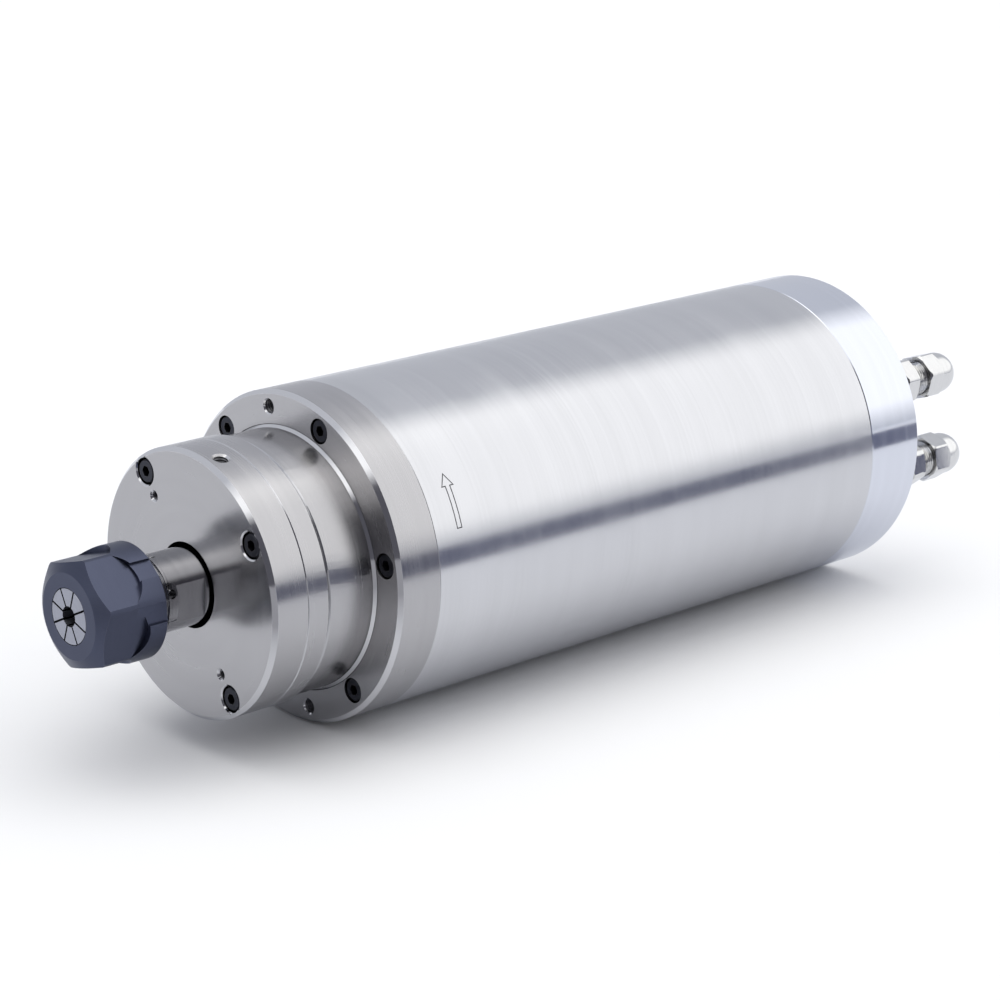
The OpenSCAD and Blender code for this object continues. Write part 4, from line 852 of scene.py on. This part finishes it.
def line_tapped_holes():
    """Thread turns in the flange's and the cover's tapped holes and in the air port."""
    mouth, port_mouth = 0.7 * MM, 0.9 * MM
    flange = bmesh.new()
    for angle in FLANGE_TAP_ANGLES:
        add_copy(flange, tapped_turns(M5_CORE_R, M5_PITCH, 10 * MM),
                 turn(angle) @ Matrix.Translation((mouth, 0, flange_tap_reach)))
    new_piece("flange_tap_threads", flange, "housing", "ground_steel", tapped_painted_shade)
    cover = bmesh.new()
    for angle in JACKING_ANGLES:
        add_copy(cover, tapped_turns(M3_CORE_R, M3_PITCH, 3 * MM),
                 turn(angle) @ Matrix.Translation((face_x + mouth, 0, jacking_reach)))
    add_copy(cover, tapped_turns(M5_CORE_R, M5_PITCH, 10 * MM),
             turn(AIR_PORT_ANGLE) @ Matrix.Translation((air_port_x, 0, nose_r - port_mouth))
             @ Matrix.Rotation(math.radians(90), 4, "Y"))
    new_piece("cover_tap_threads", cover, "housing", "ground_steel", tapped_painted_shade)


line_tapped_holes()


# The arrow that shows which way the shaft turns

def laser_mark():
    """Grey that a laser leaves on steel."""
    material, tree, shader, position = start_material("laser mark")
    noise = put(tree, "ShaderNodeTexNoise", {"Scale": 2500.0, "Detail": 2.0}, {"Vector": position})
    tree.links.new(blend_colour(tree, noise.outputs["Fac"], (0.05, 0.05, 0.055), (0.12, 0.12, 0.125)),
                   shader.inputs["Base Color"])
    shader.inputs["Roughness"].default_value = 0.6
    shader.inputs["Metallic"].default_value = 0.3
    return material


def turning_arrow():
    """An outlined arrow that points round the tube, drawn flat and rolled onto it."""
    mid_x, tip_angle, base_angle = tube_x + 9.5 * MM, 53.7, 72.9
    length = math.radians(base_angle - tip_angle) * body_r
    head_l, head_half, shaft_half, line_w = 4.2 * MM, 2.4 * MM, 1.0 * MM, 0.32 * MM
    bends, thickness = 16, 0.012 * MM
    outline = [(-shaft_half, 0), (shaft_half, 0), (shaft_half, length - head_l),
               (head_half, length - head_l), (0, length), (-head_half, length - head_l),
               (-shaft_half, length - head_l)]
    shape = bmesh.new()
    face = shape.faces.new([shape.verts.new((x, 0, z)) for x, z in outline])
    face.normal_update()
    bmesh.ops.inset_region(shape, faces=[face], thickness=line_w, depth=0,
                           use_even_offset=True, use_boundary=True)
    bmesh.ops.delete(shape, geom=[face], context="FACES")
    for bend in range(1, bends):
        slice_shape(shape, (0, 0, length * bend / bends), (0, 0, 1))
    bmesh.ops.recalc_face_normals(shape, faces=shape.faces)
    bmesh.ops.solidify(shape, geom=shape.faces[:], thickness=thickness)
    lift = body_r + thickness
    for vert in shape.verts:
        angle = math.radians(base_angle) - vert.co.z / body_r
        reach = lift - vert.co.y
        vert.co = (mid_x + vert.co.x, -reach * math.sin(angle), reach * math.cos(angle))
    new_piece("turning_arrow", shape, "housing", "polished_tube", laser_mark())


turning_arrow()


# Floor, world and lights

FLOOR_Z = -body_r


def floor_material():
    """A pale, matt studio floor: white to the camera, a little darker where metal mirrors it, and with a
    painted shadow by the nose that the camera does not see.
    """
    material = bpy.data.materials.new("studio floor")
    material.use_nodes = True
    tree = material.node_tree
    shader = tree.nodes["Principled BSDF"]
    coordinates = tree.nodes.new("ShaderNodeTexCoord")
    parts = put(tree, "ShaderNodeSeparateXYZ", None, {0: coordinates.outputs["Object"]})
    # Painted shadow: near and under the nose the floor's colour darkens
    painted_nose_shadow = maths(tree, "MULTIPLY", spread(tree, parts.outputs["X"], 0.02, -0.12),
                      spread(tree, parts.outputs["Y"], 0.0, -0.10))
    mirrored_with_painted_shadow = blend_colour(tree, painted_nose_shadow, (0.72, 0.73, 0.76), (0.30, 0.30, 0.32))
    path = tree.nodes.new("ShaderNodeLightPath")
    seen = blend_colour(tree, path.outputs["Is Camera Ray"], mirrored_with_painted_shadow, (0.90, 0.90, 0.90))
    tree.links.new(seen, shader.inputs["Base Color"])
    shader.inputs["Roughness"].default_value = 1.0
    shader.inputs["Specular IOR Level"].default_value = 0.0
    return material


def make_floor():
    """The floor that the spindle lies on."""
    shape = bmesh.new()
    bmesh.ops.create_circle(shape, cap_ends=True, segments=64, radius=12.0)
    bmesh.ops.translate(shape, verts=shape.verts, vec=(0, 0, FLOOR_Z - 0.05 * MM))
    mesh = bpy.data.meshes.new("floor")
    shape.to_mesh(mesh)
    shape.free()
    floor = bpy.data.objects.new("floor", mesh)
    bpy.context.scene.collection.objects.link(floor)
    mesh.materials.append(floor_material())


def make_card(name, corners, colour):
    """A flat card that only reflections see, as photographers use to draw a dark line on metal."""
    shape = bmesh.new()
    shape.faces.new([shape.verts.new(corner) for corner in corners])
    mesh = bpy.data.meshes.new(name)
    shape.to_mesh(mesh)
    shape.free()
    card = bpy.data.objects.new(name, mesh)
    bpy.context.scene.collection.objects.link(card)
    material = bpy.data.materials.new(name)
    material.use_nodes = True
    tree = material.node_tree
    glow = put(tree, "ShaderNodeEmission", {"Color": (*colour, 1), "Strength": 1.0})
    tree.links.new(glow.outputs[0], tree.nodes["Material Output"].inputs["Surface"])
    mesh.materials.append(material)
    card.visible_camera = False
    card.visible_diffuse = False
    card.visible_shadow = False
    card.visible_transmission = False


def make_world():
    """A studio by direction: a bright side towards -Y, a softbox overhead, a dark room behind
    the camera and paler walls elsewhere."""
    world = bpy.data.worlds.new("studio")
    bpy.context.scene.world = world
    world.use_nodes = True
    tree = world.node_tree
    background = tree.nodes["Background"]
    direction = tree.nodes.new("ShaderNodeTexCoord").outputs["Generated"]
    parts = put(tree, "ShaderNodeSeparateXYZ", None, {0: direction})
    x, y, z = parts.outputs["X"], parts.outputs["Y"], parts.outputs["Z"]
    side = maths(tree, "MULTIPLY", spread(tree, y, 0.20, -0.04), spread(tree, z, 0.0, 0.20))
    behind = maths(tree, "MULTIPLY", spread(tree, x, 0.15, -0.15), spread(tree, y, 0.05, -0.25))
    behind = maths(tree, "MULTIPLY", behind, spread(tree, z, 0.66, 0.56))
    overhead = spread(tree, z, 0.81, 0.90)
    tone = blend_colour(tree, side, (0.58, 0.60, 0.66), (1.22, 1.23, 1.26))
    tone = blend_colour(tree, behind, tone, (0.10, 0.10, 0.12))
    tone = blend_colour(tree, overhead, tone, (2.15, 2.15, 2.15))
    tree.links.new(tone, background.inputs["Color"])
    background.inputs["Strength"].default_value = 1.0


make_floor()
make_card("low_dark_card", [(-0.15, -0.395, FLOOR_Z), (0.462, -0.234, FLOOR_Z),
                            (0.462, -0.234, -0.004), (-0.15, -0.395, 0.049)], (0.14, 0.15, 0.22))
make_world()

bpy.context.scene.view_settings.view_transform = "Standard"
